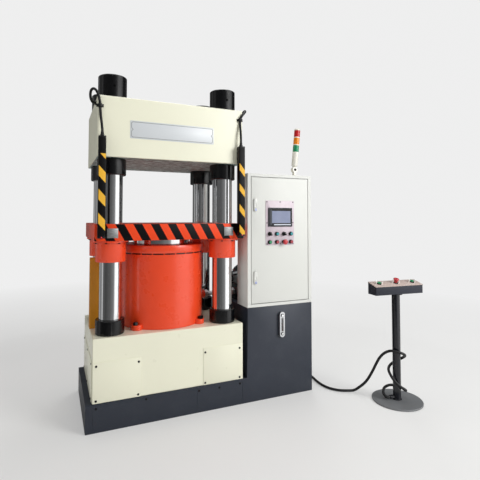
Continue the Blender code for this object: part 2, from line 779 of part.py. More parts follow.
def make_cylinder_gland():
    """Bolted ring that closes the cylinder round the ram."""
    low = BARREL_TOP + GAP
    inner = RAM_RADIUS + GAP
    profile = ring_profile(inner, GLAND_RADIUS, low, GLAND_TOP, GLAND_CHAMFER)
    turned("cylinder_gland", profile, ORANGE, BIG_ROUND_STEPS, closed=True)


def make_ram():
    """Chromed ram that pushes the platen up."""
    top = PLATEN_REST - GAP
    bottom = BED_TOP + BARREL_FLOOR + RAM_REST_LIFT
    profile = [
        (0, top),
        (RAM_RADIUS, top),
        (RAM_RADIUS, bottom + RAM_CHAMFER),
        (RAM_RADIUS - RAM_CHAMFER, bottom),
        (0, bottom),
    ]
    turned("ram", profile, CHROME, BIG_ROUND_STEPS)


def make_platen():
    """Moving plate with four flanged guide sleeves and two target plates on its front."""
    half_x, half_y = PLATEN_WIDTH / 2, PLATEN_DEPTH / 2
    top = PLATEN_REST + PLATEN_THICKNESS
    bm = bmesh.new()
    add_box(bm, (-half_x, -half_y, PLATEN_REST), (half_x, half_y, top))
    platen = piece("platen", bm, ORANGE)
    round_edges(platen, PLATE_EDGE / 2)
    flanges = bmesh.new()
    sleeves = bmesh.new()
    flange_low = PLATEN_REST - SLEEVE_FLANGE_THICKNESS
    for x, y in COLUMN_PLACES.values():
        spot = at(x, y)
        add_round(flanges, SLEEVE_FLANGE_RADIUS, flange_low, PLATEN_REST + SINK, spot, ROUND_STEPS)
        sleeve_low = PLATEN_REST - SLEEVE_LENGTH
        add_round(sleeves, SLEEVE_RADIUS, sleeve_low, flange_low + SINK, spot, ROUND_STEPS)
    for sign in (-1, 1):
        centre = sign * (half_x - TARGET_PLATE_INSET - TARGET_PLATE_WIDTH / 2)
        left, right = centre - TARGET_PLATE_WIDTH / 2, centre + TARGET_PLATE_WIDTH / 2
        high = top - TARGET_PLATE_DROP
        front = -half_y - TARGET_PLATE_THICKNESS
        add_box(flanges, (left, front, high - TARGET_PLATE_HEIGHT), (right, SINK - half_y, high))
    combine(platen, flanges, "UNION")
    combine(platen, sleeves, "UNION")
    bores = column_bores(COLUMN_RADIUS + GAP, PLATEN_REST - SLEEVE_LENGTH - OVERRUN, top + OVERRUN)
    combine(platen, bores, "DIFFERENCE")


def make_light_curtain(side, sign):
    """Slim light-curtain post, bracketed to the front of the crown."""
    centre = sign * POST_SPACING / 2
    rear = -CROWN_DEPTH / 2 - POST_CLEARANCE
    front = rear - POST_DEPTH
    left, right = centre - POST_WIDTH / 2, centre + POST_WIDTH / 2
    bm = bmesh.new()
    add_box(bm, (left, front, POST_BOTTOM), (right, rear, POST_TOP))
    post = piece(f"light_curtain_{side}", bm, BLACK_PLASTIC)
    round_edges(post, POST_EDGE)
    inner = centre - sign * POST_WIDTH / 2
    middle = (front + rear) / 2
    low, high = sorted((inner - sign * OVERRUN, inner + sign * POST_WINDOW_DEPTH))
    bm = bmesh.new()
    add_box(
        bm,
        (low, middle - POST_WINDOW_WIDTH / 2, POST_BOTTOM + POST_CAP_HEIGHT),
        (high, middle + POST_WINDOW_WIDTH / 2, POST_TOP - POST_CAP_HEIGHT),
    )
    combine(post, bm, "DIFFERENCE")
    bm = bmesh.new()
    bracket_low = CROWN_BOTTOM + BRACKET_RISE
    edge = CROWN_WIDTH / 2 - PLATE_EDGE
    bracket_left = max(centre - BRACKET_WIDTH / 2, -edge)
    bracket_right = min(centre + BRACKET_WIDTH / 2, edge)
    add_box(
        bm,
        (bracket_left, rear - SINK, bracket_low),
        (bracket_right, -CROWN_DEPTH / 2 - GAP, bracket_low + BRACKET_HEIGHT),
    )
    combine(post, bm, "UNION")


def make_curtain_cable(side, route):
    """Cable from a post's top, clipped to the crown, over its corner and in through a grommet."""
    points = smooth_route(route, 4 * CURTAIN_CABLE_RADIUS)
    cable = tube(f"curtain_cable_{side}", points, CURTAIN_CABLE_RADIUS, BLACK_PLASTIC)
    bm = bmesh.new()
    clip = Vector(route[CLIP_POINT])
    face = -CROWN_DEPTH / 2 - GAP
    half = CABLE_CLIP_WIDTH / 2
    front = clip.y - CURTAIN_CABLE_RADIUS - SINK
    low, high = clip.z - CABLE_CLIP_HEIGHT / 2, clip.z + CABLE_CLIP_HEIGHT / 2
    add_box(bm, (clip.x - half, front, low), (clip.x + half, face, high))
    end = Vector(route[-1])
    place = at(end.x, end.y, end.z) @ ALONG_X
    sign = math.copysign(1, end.x)
    low, high = sorted((0, sign * GROMMET_THICKNESS))
    add_round(bm, GROMMET_RADIUS, low, high, place, 12)
    combine(cable, bm, "UNION")


def make_switch_guard():
    """Folded sheet guard that stands on the bed's left edge."""
    left = -BED_WIDTH / 2 + GUARD_EDGE_INSET
    right = left + GUARD_WIDTH
    rear = GUARD_FRONT + GUARD_DEPTH
    low = BED_TOP + GAP
    high = low + GUARD_HEIGHT
    bm = bmesh.new()
    add_box(bm, (left, GUARD_FRONT, low), (right, rear, high))
    guard = piece("switch_guard", bm, MUSTARD)
    bm = bmesh.new()
    add_box(
        bm,
        (left + GUARD_SHEET, GUARD_FRONT + GUARD_SHEET, low - OVERRUN),
        (right - GUARD_SHEET, rear + OVERRUN, high - GUARD_SHEET),
    )
    combine(guard, bm, "DIFFERENCE")
    bm = bmesh.new()
    add_box(
        bm,
        (left + GUARD_SHEET / 2, GUARD_FRONT + GUARD_SHEET / 2, low),
        (right - GUARD_SHEET / 2, rear + GUARD_FOOT, low + GUARD_SHEET),
    )
    combine(guard, bm, "UNION")


def stadium(width, height, thickness, name, paint):
    """A plate with round ends, upright in the XZ plane, as a flat curve that is extruded."""
    radius = width / 2
    straight = height / 2 - radius
    outline = []
    for end, start_deg in ((1, 0), (-1, 180)):
        for i in range(SMALL_ROUND_STEPS // 2 + 1):
            angle = math.radians(start_deg + 360 * i / SMALL_ROUND_STEPS)
            outline.append((radius * math.cos(angle), end * straight + radius * math.sin(angle)))
    return extruded(outline, thickness, name, paint)


def extruded(outline, thickness, name, paint):
    """A closed outline in XY, filled and extruded along Z, as a mesh with welded caps."""
    curve = bpy.data.curves.new(name, "CURVE")
    curve.dimensions = "2D"
    curve.fill_mode = "BOTH"
    curve.extrude = thickness / 2
    spline = curve.splines.new("POLY")
    spline.points.add(len(outline) - 1)
    for knot, (x, y) in zip(spline.points, outline):
        knot.co = (x, y, 0, 1)
    spline.use_cyclic_u = True
    return piece_from_curve(name, curve, paint)


def make_oil_gauge():
    """Upright level gauge on the tank's front, held by two bolts."""
    centre_x = (TANK_LEFT + TANK_RIGHT) / 2
    centre_z = TANK_HEIGHT - GAUGE_DROP
    face = TANK_FRONT - GAP
    gauge = stadium(GAUGE_WIDTH, GAUGE_HEIGHT, GAUGE_DEPTH, "oil_gauge", STEEL)
    gauge.matrix_world = at(centre_x, face - GAUGE_DEPTH / 2, centre_z) @ ALONG_Y
    front = face - GAUGE_DEPTH
    bm = bmesh.new()
    half = GAUGE_WINDOW_HEIGHT / 2
    add_box(
        bm,
        (centre_x - GAUGE_WINDOW_WIDTH / 2, front - OVERRUN, centre_z - half),
        (centre_x + GAUGE_WINDOW_WIDTH / 2, front + GAUGE_WINDOW_DEPTH, centre_z + half),
    )
    combine(gauge, bm, "DIFFERENCE")
    bm = bmesh.new()
    for sign in (-1, 1):
        spot = at(centre_x, front, centre_z + sign * GAUGE_BOLT_SPACING / 2) @ ALONG_Y
        add_round(bm, GAUGE_BOLT_RADIUS, -SINK, GAUGE_BOLT_HEIGHT, spot, 12)
    combine(gauge, bm, "UNION")


def make_cabinet():
    """Sheet-steel cabinet, open behind its door, with the door's two pivot pins."""
    bm = bmesh.new()
    low = TANK_HEIGHT + GAP
    add_box(bm, (TANK_LEFT, TANK_FRONT, low), (TANK_RIGHT, CABINET_BACK, CABINET_TOP))
    cabinet = piece("cabinet", bm, OFF_WHITE)
    round_edges(cabinet, PLATE_EDGE / 2)
    sheet = CABINET_SHEET
    bm = bmesh.new()
    add_box(
        bm,
        (TANK_LEFT + sheet, TANK_FRONT + sheet, low + sheet),
        (TANK_RIGHT - sheet, CABINET_BACK - sheet, CABINET_TOP - sheet),
    )
    combine(cabinet, bm, "DIFFERENCE")
    bm = bmesh.new()
    add_box(
        bm,
        (DOOR_LEFT - DOOR_GAP, TANK_FRONT - OVERRUN, DOOR_BOTTOM - DOOR_GAP),
        (DOOR_RIGHT + DOOR_GAP, TANK_FRONT + 2 * sheet, DOOR_TOP + DOOR_GAP),
    )
    combine(cabinet, bm, "DIFFERENCE")
    tabs = bmesh.new()
    pins = bmesh.new()
    for edge, sign in ((DOOR_BOTTOM - DOOR_GAP, -1), (DOOR_TOP + DOOR_GAP, 1)):
        tab_low, tab_high = sorted((edge, edge + sign * sheet))
        tab_left = HINGE_X - HINGE_TAB_WIDTH / 2
        tab_front = TANK_FRONT + sheet / 2
        add_box(
            tabs,
            (tab_left, tab_front, tab_low),
            (tab_left + HINGE_TAB_WIDTH, tab_front + HINGE_TAB_DEPTH, tab_high),
        )
        pin_low, pin_high = sorted((edge + sign * sheet / 2, edge - sign * HINGE_PIN_REACH))
        add_round(pins, HINGE_PIN_RADIUS, pin_low, pin_high, at(HINGE_X, HINGE_Y), 12)
    gland_place = at(CONDUIT_GLAND_X, CABINET_BACK, CONDUIT_GLAND_HEIGHT) @ ALONG_Y
    add_round(pins, CONDUIT_GLAND_RADIUS, -CONDUIT_GLAND_LENGTH, sheet / 2, gland_place, 12)
    combine(cabinet, tabs, "UNION")
    combine(cabinet, pins, "UNION")


def make_door():
    """Folded sheet door, flush in the cabinet's frame, with two lock housings."""
    bm = bmesh.new()
    rear = TANK_FRONT + DOOR_THICKNESS
    add_box(bm, (DOOR_LEFT, TANK_FRONT, DOOR_BOTTOM), (DOOR_RIGHT, rear, DOOR_TOP))
    door = piece("door", bm, OFF_WHITE)
    sheet = DOOR_SHEET
    bm = bmesh.new()
    add_box(
        bm,
        (DOOR_LEFT + sheet, TANK_FRONT + sheet, DOOR_BOTTOM + sheet),
        (DOOR_RIGHT - sheet, rear + OVERRUN, DOOR_TOP - sheet),
    )
    combine(door, bm, "DIFFERENCE")
    bm = bmesh.new()
    hinge = at(HINGE_X, HINGE_Y)
    for z in (DOOR_BOTTOM, DOOR_TOP):
        add_round(bm, HINGE_PIN_RADIUS + GAP, z - 3 * sheet, z + 3 * sheet, hinge, 12)
    combine(door, bm, "DIFFERENCE")
    set_origin(door, hinge)
    housings, pockets, keys = bmesh.new(), bmesh.new(), bmesh.new()
    face = TANK_FRONT - LOCK_DEPTH
    for middle in LOCK_HEIGHTS.values():
        low, high = middle - LOCK_HEIGHT / 2, middle + LOCK_HEIGHT / 2
        housing = bmesh.new()
        add_box(
            housing,
            (LOCK_X - LOCK_WIDTH / 2, face, low),
            (LOCK_X + LOCK_WIDTH / 2, TANK_FRONT + sheet / 2, high),
        )
        corners = [edge for edge in housing.edges if is_along_y(edge)]
        bmesh.ops.bevel(housing, geom=corners, offset=LOCK_CORNER, segments=3, affect="EDGES")
        append_mesh(housings, housing)
        lever_half = LOCK_WIDTH / 2 - LOCK_WALL
        pocket_top = high - LOCK_WALL
        pocket_floor = face + LEVER_THICKNESS + 2 * GAP
        add_box(
            pockets,
            (LOCK_X - lever_half - GAP, face - OVERRUN, pocket_top - LEVER_LENGTH - 2 * GAP),
            (LOCK_X + lever_half + GAP, pocket_floor, pocket_top),
        )
        pin = at(LOCK_X, lever_axis_y(), lever_axis_z(middle)) @ ALONG_X
        reach = lever_half + LOCK_WALL / 2 + GAP
        add_round(pockets, LEVER_PIN_RADIUS + GAP, -reach, reach, pin, 8)
        key_z = (low + pocket_top - LEVER_LENGTH) / 2
        key = at(LOCK_X, face, key_z) @ ALONG_Y
        add_round(keys, KEY_RADIUS, -SINK, KEY_HEIGHT, key, 12)
    combine(door, housings, "UNION")
    combine(door, pockets, "DIFFERENCE")
    combine(door, keys, "UNION")


def is_along_y(edge):
    first, second = (vert.co for vert in edge.verts)
    return abs(first.y - second.y) > max(abs(first.x - second.x), abs(first.z - second.z))


def lever_axis_y():
    return TANK_FRONT - LOCK_DEPTH + LEVER_THICKNESS / 2 + GAP


def lever_axis_z(middle):
    return middle + LOCK_HEIGHT / 2 - LOCK_WALL - LEVER_THICKNESS / 2 - GAP


def make_lock_lever(which, middle):
    """Lever that lifts out of its housing on a pin at its upper end."""
    half = LOCK_WIDTH / 2 - LOCK_WALL
    radius = LEVER_THICKNESS / 2
    place = at(LOCK_X, lever_axis_y(), lever_axis_z(middle))
    bm = bmesh.new()
    add_box(bm, (-half, -radius, radius - LEVER_LENGTH), (half, radius, 0))
    lever = piece(f"lock_lever_{which}", bm, OFF_WHITE)
    lever.matrix_world = place
    place = place @ ALONG_X
    bm = bmesh.new()
    add_round(bm, radius, -half, half, place, 12)
    combine(lever, bm, "UNION")
    bm = bmesh.new()
    add_round(bm, LEVER_PIN_RADIUS, -half - LOCK_WALL / 2, half + LOCK_WALL / 2, place, 8)
    combine(lever, bm, "UNION")


def control_place(column, row):
    """Centre of a control on the panel's face, with local +Z towards the operator."""
    x = PANEL_CENTRE_X + (column - 1.5) * CONTROL_PITCH
    z = PANEL_CENTRE_Z - CONTROL_ROW_DROPS[row]
    return at(x, PANEL_FACE, z) @ ALONG_Y


def make_control_panel():
    """Laminate panel with the collars of its eight controls."""
    half_x, half_z = PANEL_WIDTH / 2, PANEL_HEIGHT / 2
    bm = bmesh.new()
    add_box(
        bm,
        (PANEL_CENTRE_X - half_x, PANEL_FACE, PANEL_CENTRE_Z - half_z),
        (PANEL_CENTRE_X + half_x, PANEL_FACE + PANEL_THICKNESS, PANEL_CENTRE_Z + half_z),
    )
    panel = piece("control_panel", bm, LAMINATE)
    collars, wells = bmesh.new(), bmesh.new()
    for column in range(4):
        for row in CONTROL_ROW_DROPS:
            place = control_place(column, row)
            add_round(collars, BEZEL_RADIUS, -PANEL_THICKNESS / 2, BEZEL_HEIGHT, place)
            add_round(wells, CAP_RADIUS + GAP, PANEL_THICKNESS / 2, BEZEL_HEIGHT + OVERRUN, place)
    combine(panel, collars, "UNION")
    combine(panel, wells, "DIFFERENCE")


def make_touch_screen():
    """Operator's touch screen with its recessed glass."""
    centre_z = PANEL_CENTRE_Z + SCREEN_RISE
    face = PANEL_FACE - GAP - SCREEN_DEPTH
    bm = bmesh.new()
    add_box(
        bm,
        (PANEL_CENTRE_X - SCREEN_WIDTH / 2, face, centre_z - SCREEN_HEIGHT / 2),
        (PANEL_CENTRE_X + SCREEN_WIDTH / 2, PANEL_FACE - GAP, centre_z + SCREEN_HEIGHT / 2),
    )
    screen = piece("touch_screen", bm, SCREEN_GREY)
    round_edges(screen, SCREEN_DEPTH / 3)
    left, right = PANEL_CENTRE_X - SCREEN_GLASS_WIDTH / 2, PANEL_CENTRE_X + SCREEN_GLASS_WIDTH / 2
    low = centre_z + SCREEN_GLASS_RISE - SCREEN_GLASS_HEIGHT / 2
    high = low + SCREEN_GLASS_HEIGHT
    bm = bmesh.new()
    add_box(bm, (left, face - OVERRUN, low), (right, face + SCREEN_GLASS_DEPTH, high))
    combine(screen, bm, "DIFFERENCE")


def cap_profile(radius, low, high, dome):
    """Section of a push-button cap with a rounded front edge."""
    return [(0, high), (radius - dome, high), (radius, high - dome), (radius, low), (0, low)]


def make_push_button(name, column, row, paint):
    low = CAP_BEHIND
    high = BEZEL_HEIGHT + CAP_PROUD
    profile = cap_profile(CAP_RADIUS, low, high, CAP_PROUD / 3)
    turned(name, profile, paint, SMALL_ROUND_STEPS, control_place(column, row))


def make_selector(name, column, row):
    """Selector switch: a round base with a raised grip across it, turned to its left stop."""
    place = control_place(column, row)
    high = BEZEL_HEIGHT + CAP_PROUD / 2
    radius = CAP_RADIUS - SELECTOR_CLEARANCE
    profile = cap_profile(radius, PANEL_THICKNESS, high, CAP_PROUD / 5)
    knob = turned(name, profile, BLACK_PLASTIC, SMALL_ROUND_STEPS, place)
    bm = bmesh.new()
    add_box(
        bm,
        (-GRIP_WIDTH / 2, -radius, high - SINK),
        (GRIP_WIDTH / 2, radius, high + GRIP_HEIGHT),
    )
    turn = Matrix.Rotation(math.radians(SELECTOR_TURN_DEG), 4, "Z")
    bmesh.ops.transform(bm, matrix=place @ turn, verts=bm.verts)
    combine(knob, bm, "UNION")


def mushroom_profile(stem, stem_low, head, head_low, head_height):
    """Section of a mushroom-headed button."""
    dome = [(out * head, head_low + up * head_height) for out, up in MUSHROOM_SHARES]
    return [*dome, (head, head_low), (stem, head_low), (stem, stem_low), (0, stem_low)]


def make_panel_stop():
    """Emergency-stop mushroom on the panel."""
    head_low = BEZEL_HEIGHT + MUSHROOM_CLEARANCE
    profile = mushroom_profile(CAP_RADIUS, CAP_BEHIND, MUSHROOM_RADIUS, head_low, MUSHROOM_HEIGHT)
    turned("panel_emergency_stop", profile, RED, SMALL_ROUND_STEPS, control_place(2, "lower"))


def make_mounting_plate():
    """Mounting plate inside the cabinet, with wiring ducts and two rows of devices."""
    back = CABINET_BACK - CABINET_SHEET - GAP
    plate_back = back - MOUNTING_STANDOFF
    face = plate_back - MOUNTING_SHEET
    left, right = TANK_LEFT + MOUNTING_MARGIN, TANK_RIGHT - MOUNTING_MARGIN
    low, high = TANK_HEIGHT + MOUNTING_MARGIN, CABINET_TOP - MOUNTING_MARGIN
    bm = bmesh.new()
    add_box(bm, (left, face, low), (right, plate_back, high))
    plate = piece("mounting_plate", bm, STEEL)
    fittings = bmesh.new()
    for x in (left + DUCT_HEIGHT / 2, right - DUCT_HEIGHT / 2):
        for z in (low + DUCT_HEIGHT / 2, high - DUCT_HEIGHT / 2):
            spot = at(x, plate_back, z) @ ALONG_Y
            add_round(fittings, HINGE_PIN_RADIUS, plate_back - back, SINK, spot, 8)
    rows = DUCT_ROWS
    pitch = (high - low - DUCT_HEIGHT) / (rows - 1)
    for i in range(rows):
        z = low + i * pitch
        inset = 2 * DUCT_HEIGHT if i in (0, rows - 1) else DEVICE_GAP
        add_box(
            fittings,
            (left + inset, face - DUCT_DEPTH, z),
            (right - inset, face + SINK, z + DUCT_HEIGHT),
        )
    plc_z = low + (rows - 1.5) * pitch + DUCT_HEIGHT / 2
    add_box(
        fittings,
        (left + 2 * DEVICE_GAP, face - PLC_DEPTH, plc_z - PLC_HEIGHT / 2),
        (left + 2 * DEVICE_GAP + PLC_WIDTH, face + SINK, plc_z + PLC_HEIGHT / 2),
    )
    for row in range(2):
        centre = low + (row + 0.5) * pitch + DUCT_HEIGHT / 2
        x = left + 2 * DEVICE_GAP
        for width, height in DEVICE_SIZES:
            add_box(
                fittings,
                (x, face - DEVICE_DEPTH, centre - height / 2),
                (x + width, face + SINK, centre + height / 2),
            )
            x += width + DEVICE_GAP
    combine(plate, fittings, "UNION")


def make_tower_bracket():
    """Folding bracket: a round foot, a stem and two ears for the pivot bolt."""
    pivot = CABINET_TOP + TOWER_PIVOT_RISE
    foot_low = CABINET_TOP + GAP
    bm = bmesh.new()
    add_round(bm, TOWER_FOOT_RADIUS, foot_low, foot_low + TOWER_FOOT_THICKNESS, at(TOWER_X, TOWER_Y))
    bracket = piece("tower_bracket", bm, LAMP_WHITE)
    ears, bolt = bmesh.new(), bmesh.new()
    inner = TOWER_HUB_THICKNESS / 2 + GAP
    outer = inner + TOWER_EAR_THICKNESS
    stem_half = TOWER_STEM_WIDTH / 2
    add_box(
        ears,
        (TOWER_X - stem_half, TOWER_Y - outer, foot_low + TOWER_FOOT_THICKNESS - SINK),
        (TOWER_X + stem_half, TOWER_Y + outer, pivot),
    )
    combine(bracket, ears, "UNION")
    slot = bmesh.new()
    add_box(
        slot,
        (TOWER_X - 2 * TOWER_HUB_RADIUS, TOWER_Y - inner, pivot - TOWER_HUB_RADIUS - SINK),
        (TOWER_X + 2 * TOWER_HUB_RADIUS, TOWER_Y + inner, pivot + OVERRUN),
    )
    combine(bracket, slot, "DIFFERENCE")
    discs = bmesh.new()
    for sign in (-1, 1):
        place = at(TOWER_X, TOWER_Y, pivot) @ ALONG_Y
        low, high = sorted((sign * inner, sign * outer))
        add_round(discs, TOWER_HUB_RADIUS, low, high, place)
    combine(bracket, discs, "UNION")
    place = at(TOWER_X, TOWER_Y, pivot) @ ALONG_Y
    add_round(bolt, TOWER_BOLT_RADIUS, -outer - SINK, outer + SINK, place, 12)
    combine(bracket, bolt, "UNION")


def make_tower_light():
    """Signal tower: hub on the pivot bolt, body, three lenses between white bands, cap."""
    pivot = at(TOWER_X, TOWER_Y, CABINET_TOP + TOWER_PIVOT_RISE)
    place = pivot @ Matrix.Rotation(math.radians(TOWER_LEAN_DEG), 4, "Y")
    groove = TOWER_RADIUS / 12
    level = TOWER_BODY_RISE + TOWER_BODY_HEIGHT
    side = [
        (TOWER_NECK_SHARE * TOWER_RADIUS, TOWER_BODY_RISE - TOWER_BAND_HEIGHT),
        (TOWER_RADIUS, TOWER_BODY_RISE),
        (TOWER_RADIUS, level),
    ]
    for _ in range(3):
        side.append((TOWER_RADIUS - groove, level))
        level += TOWER_LENS_HEIGHT
        side.append((TOWER_RADIUS - groove, level))
        side.append((TOWER_RADIUS, level))
        level += TOWER_BAND_HEIGHT
        side.append((TOWER_RADIUS, level))
    for out, up in TOWER_CAP_SHARES:
        side.append((out * TOWER_RADIUS, level + up * TOWER_CAP_HEIGHT))
    profile = [*reversed(side), (0, TOWER_BODY_RISE - TOWER_BAND_HEIGHT)]
    tower = turned("tower_light", profile, LAMP_WHITE, SMALL_ROUND_STEPS, place)
    hub = bmesh.new()
    half = TOWER_HUB_THICKNESS / 2
    add_round(hub, TOWER_HUB_RADIUS, -half, half, place @ ALONG_Y)
    combine(tower, hub, "UNION")
    neck = bmesh.new()
    add_box(
        neck,
        (-TOWER_STEM_WIDTH / 2, -half, TOWER_HUB_RADIUS / 2),
        (TOWER_STEM_WIDTH / 2, half, TOWER_BODY_RISE),
    )
    bmesh.ops.transform(neck, matrix=place, verts=neck.verts)
    combine(tower, neck, "UNION")
    bore = bmesh.new()
    add_round(bore, TOWER_BOLT_RADIUS + GAP, -2 * half, 2 * half, place @ ALONG_Y, 12)
    combine(tower, bore, "DIFFERENCE")


def make_pump_motor():
    """Finned electric motor on its feet, with a fan cover and a terminal box."""
    axis_z = TANK_HEIGHT + MOTOR_AXIS_RISE
    tip = MOTOR_RADIUS + MOTOR_FIN
    outline = []
    for i in range(MOTOR_FINS):
        for share, radius in zip(MOTOR_FIN_SHARES, (MOTOR_RADIUS, tip, tip, MOTOR_RADIUS)):
            angle = math.tau * (i + share) / MOTOR_FINS
            outline.append((radius * math.cos(angle), radius * math.sin(angle)))
    motor = extruded(outline, MOTOR_LENGTH, "pump_motor", MOTOR_BLUE)
    axis = at(MOTOR_LEFT, MOTOR_AXIS_Y, axis_z) @ ALONG_X
    motor.matrix_world = axis @ at(0, 0, MOTOR_LENGTH / 2)
    ends = bmesh.new()
    add_round(ends, MOTOR_END_RADIUS, -MOTOR_END_THICKNESS, SINK, axis, ROUND_STEPS)
    cover_low, cover_high = MOTOR_LENGTH - SINK, MOTOR_LENGTH + FAN_COVER_LENGTH
    taper = FAN_COVER_TAPER_SHARE * FAN_COVER_RADIUS
    add_round(ends, FAN_COVER_RADIUS, cover_low, cover_high, axis, ROUND_STEPS, taper)
    combine(motor, ends, "UNION")
    feet, legs = bmesh.new(), bmesh.new()
    foot_top = TANK_HEIGHT + MOTOR_FOOT_THICKNESS
    half = MOTOR_FOOT_THICKNESS / 2
    for share in MOTOR_FOOT_SHARES:
        x = MOTOR_LEFT + share * MOTOR_LENGTH
        left, right = x - MOTOR_FOOT_WIDTH / 2, x + MOTOR_FOOT_WIDTH / 2
        front, rear = MOTOR_AXIS_Y - MOTOR_FOOT_SPAN / 2, MOTOR_AXIS_Y + MOTOR_FOOT_SPAN / 2
        add_box(feet, (left, front, TANK_HEIGHT + GAP), (right, rear, foot_top))
        for sign in (-1, 1):
            y = MOTOR_AXIS_Y + sign * MOTOR_LEG_SHARE * MOTOR_FOOT_SPAN
            high = axis_z - MOTOR_RADIUS / 2
            add_box(legs, (left + half, y - half, foot_top - SINK), (right - half, y + half, high))
    middle = MOTOR_LEFT + MOTOR_LENGTH / 2
    half_width, half_depth = TERMINAL_BOX_WIDTH / 2, TERMINAL_BOX_DEPTH / 2
    box_low = axis_z + MOTOR_RADIUS - SINK
    add_box(
        feet,
        (middle - half_width, MOTOR_AXIS_Y - half_depth, box_low),
        (middle + half_width, MOTOR_AXIS_Y + half_depth, box_low + TERMINAL_BOX_HEIGHT),
    )
    combine(motor, feet, "UNION")
    combine(motor, legs, "UNION")


def make_pump():
    """Bell housing and pump on the motor's flange, with an outlet to the valve block."""
    axis_z = TANK_HEIGHT + MOTOR_AXIS_RISE
    start = MOTOR_LEFT - MOTOR_END_THICKNESS - GAP
    axis = at(start, MOTOR_AXIS_Y, axis_z) @ Matrix.Rotation(math.radians(-90), 4, "Y")
    bell = BELL_LENGTH
    profile = [
        (0, bell + PUMP_LENGTH),
        (PUMP_RADIUS, bell + PUMP_LENGTH),
        (PUMP_RADIUS, bell),
        (BELL_NECK_RADIUS, bell),
        (BELL_RADIUS, MOTOR_END_THICKNESS),
        (BELL_FLANGE_RADIUS, MOTOR_END_THICKNESS),
        (BELL_FLANGE_RADIUS, 0),
        (0, 0),
    ]
    pump = turned("pump", profile, SLATE, ROUND_STEPS, axis)
    outlet_x = start - bell - PUMP_LENGTH / 2
    outlet = at(outlet_x, 0, outlet_height()) @ ALONG_Y
    bm = bmesh.new()
    add_round(bm, PUMP_PORT_RADIUS, -MOTOR_AXIS_Y, -BLOCK_DEPTH / 2 - GAP, outlet, 12)
    combine(pump, bm, "UNION")
    suction = bmesh.new()
    suction_place = at(outlet_x, MOTOR_AXIS_Y)
    add_round(suction, PUMP_PORT_RADIUS, TANK_HEIGHT + GAP, axis_z, suction_place, 12)
    combine(pump, suction, "UNION")


def outlet_height():
    """Height of the pump's outlet: inside both the pump and the valve block."""
    return TANK_HEIGHT + MOTOR_AXIS_RISE - PUMP_RADIUS / 2


def make_valve_block():
    """Manifold with a row of solenoid valves on top."""
    low, top = TANK_HEIGHT + GAP, TANK_HEIGHT + BLOCK_HEIGHT
    bm = bmesh.new()
    add_box(bm, (BLOCK_LEFT, -BLOCK_DEPTH / 2, low), (BLOCK_LEFT + BLOCK_WIDTH, BLOCK_DEPTH / 2, top))
    block = piece("valve_block", bm, BLACK_STEEL)
    round_edges(block, PLATE_EDGE / 2)
    bodies, coils = bmesh.new(), bmesh.new()
    for share in VALVE_SHARES:
        x = BLOCK_LEFT + share * BLOCK_WIDTH
        half = VALVE_LENGTH / 2
        add_box(
            bodies,
            (x - VALVE_WIDTH / 2, -half, top - SINK),
            (x + VALVE_WIDTH / 2, half, top + VALVE_HEIGHT),
        )
        for sign in (-1, 1):
            place = at(x, 0, top + VALVE_HEIGHT / 2) @ ALONG_Y
            low_end, high_end = sorted((sign * (half - SINK), sign * (half + SOLENOID_LENGTH)))
            add_round(coils, SOLENOID_RADIUS, low_end, high_end, place, 12)
    combine(block, bodies, "UNION")
    combine(block, coils, "UNION")


def make_pressure_pipe():
    """Pipe with a union nut at each end, from the valve block to the cylinder's port."""
    start = BARREL_RADIUS + PORT_LENGTH + GAP
    end = BLOCK_LEFT - GAP
    axis = at(0, 0, PORT_HEIGHT) @ ALONG_X
    bm = bmesh.new()
    add_round(bm, PIPE_RADIUS, start + SINK, end - SINK, axis, 12)
    pipe = piece("pressure_pipe", bm, STEEL)
    nuts = bmesh.new()
    add_round(nuts, PIPE_NUT_RADIUS, start, start + PIPE_NUT_LENGTH, axis, 6)
    add_round(nuts, PIPE_NUT_RADIUS, end - PIPE_NUT_LENGTH, end, axis, 6)
    combine(pipe, nuts, "UNION")


def make_stand_base():
    """Round foot plate of the stand."""
    profile = [
        (0, STAND_BASE_THICKNESS),
        (STAND_BASE_RADIUS - SINK, STAND_BASE_THICKNESS),
        (STAND_BASE_RADIUS, STAND_BASE_THICKNESS - SINK),
        (STAND_BASE_RADIUS, 0),
        (0, 0),
    ]
    turned("stand_base", profile, SLATE, BIG_ROUND_STEPS // 2, STAND_PLACE)


def make_stand_pole():
    """Tube of the stand, with the conduit's gland near its foot."""
    low = STAND_BASE_THICKNESS + GAP
    high = STAND_BOX_BOTTOM - GAP
    profile = [
        (POLE_RADIUS, high),
        (POLE_RADIUS, low),
        (POLE_RADIUS - POLE_WALL, low),
        (POLE_RADIUS - POLE_WALL, high),
    ]
    pole = turned("stand_pole", profile, SLATE, SMALL_ROUND_STEPS, STAND_PLACE, True)
    end = Vector(CONDUIT_ROUTE[-1])
    reach = (end - Vector((STAND_X, STAND_Y, end.z))).length - GAP
    direction = (end - Vector((STAND_X, STAND_Y, end.z))).normalized()
    turn = Vector((0, 0, 1)).rotation_difference(direction).to_matrix().to_4x4()
    place = at(STAND_X, STAND_Y, end.z) @ turn
    bm = bmesh.new()
    add_round(bm, CONDUIT_GLAND_RADIUS * 0.8, POLE_RADIUS - POLE_WALL / 2, reach, place, 12)
    combine(pole, bm, "UNION")


def box_section():
    """Outline of the stand's box from its left: front at -Y, its top sloping up to the rear."""
    half = STAND_BOX_DEPTH / 2
    low = STAND_BOX_BOTTOM
    return [
        (-half, low),
        (half, low),
        (half, low + STAND_BOX_REAR_HEIGHT),
        (-half, low + STAND_BOX_FRONT_HEIGHT),
    ]


def stand_slope():
    rise = STAND_BOX_REAR_HEIGHT - STAND_BOX_FRONT_HEIGHT
    return math.atan2(rise, STAND_BOX_DEPTH)


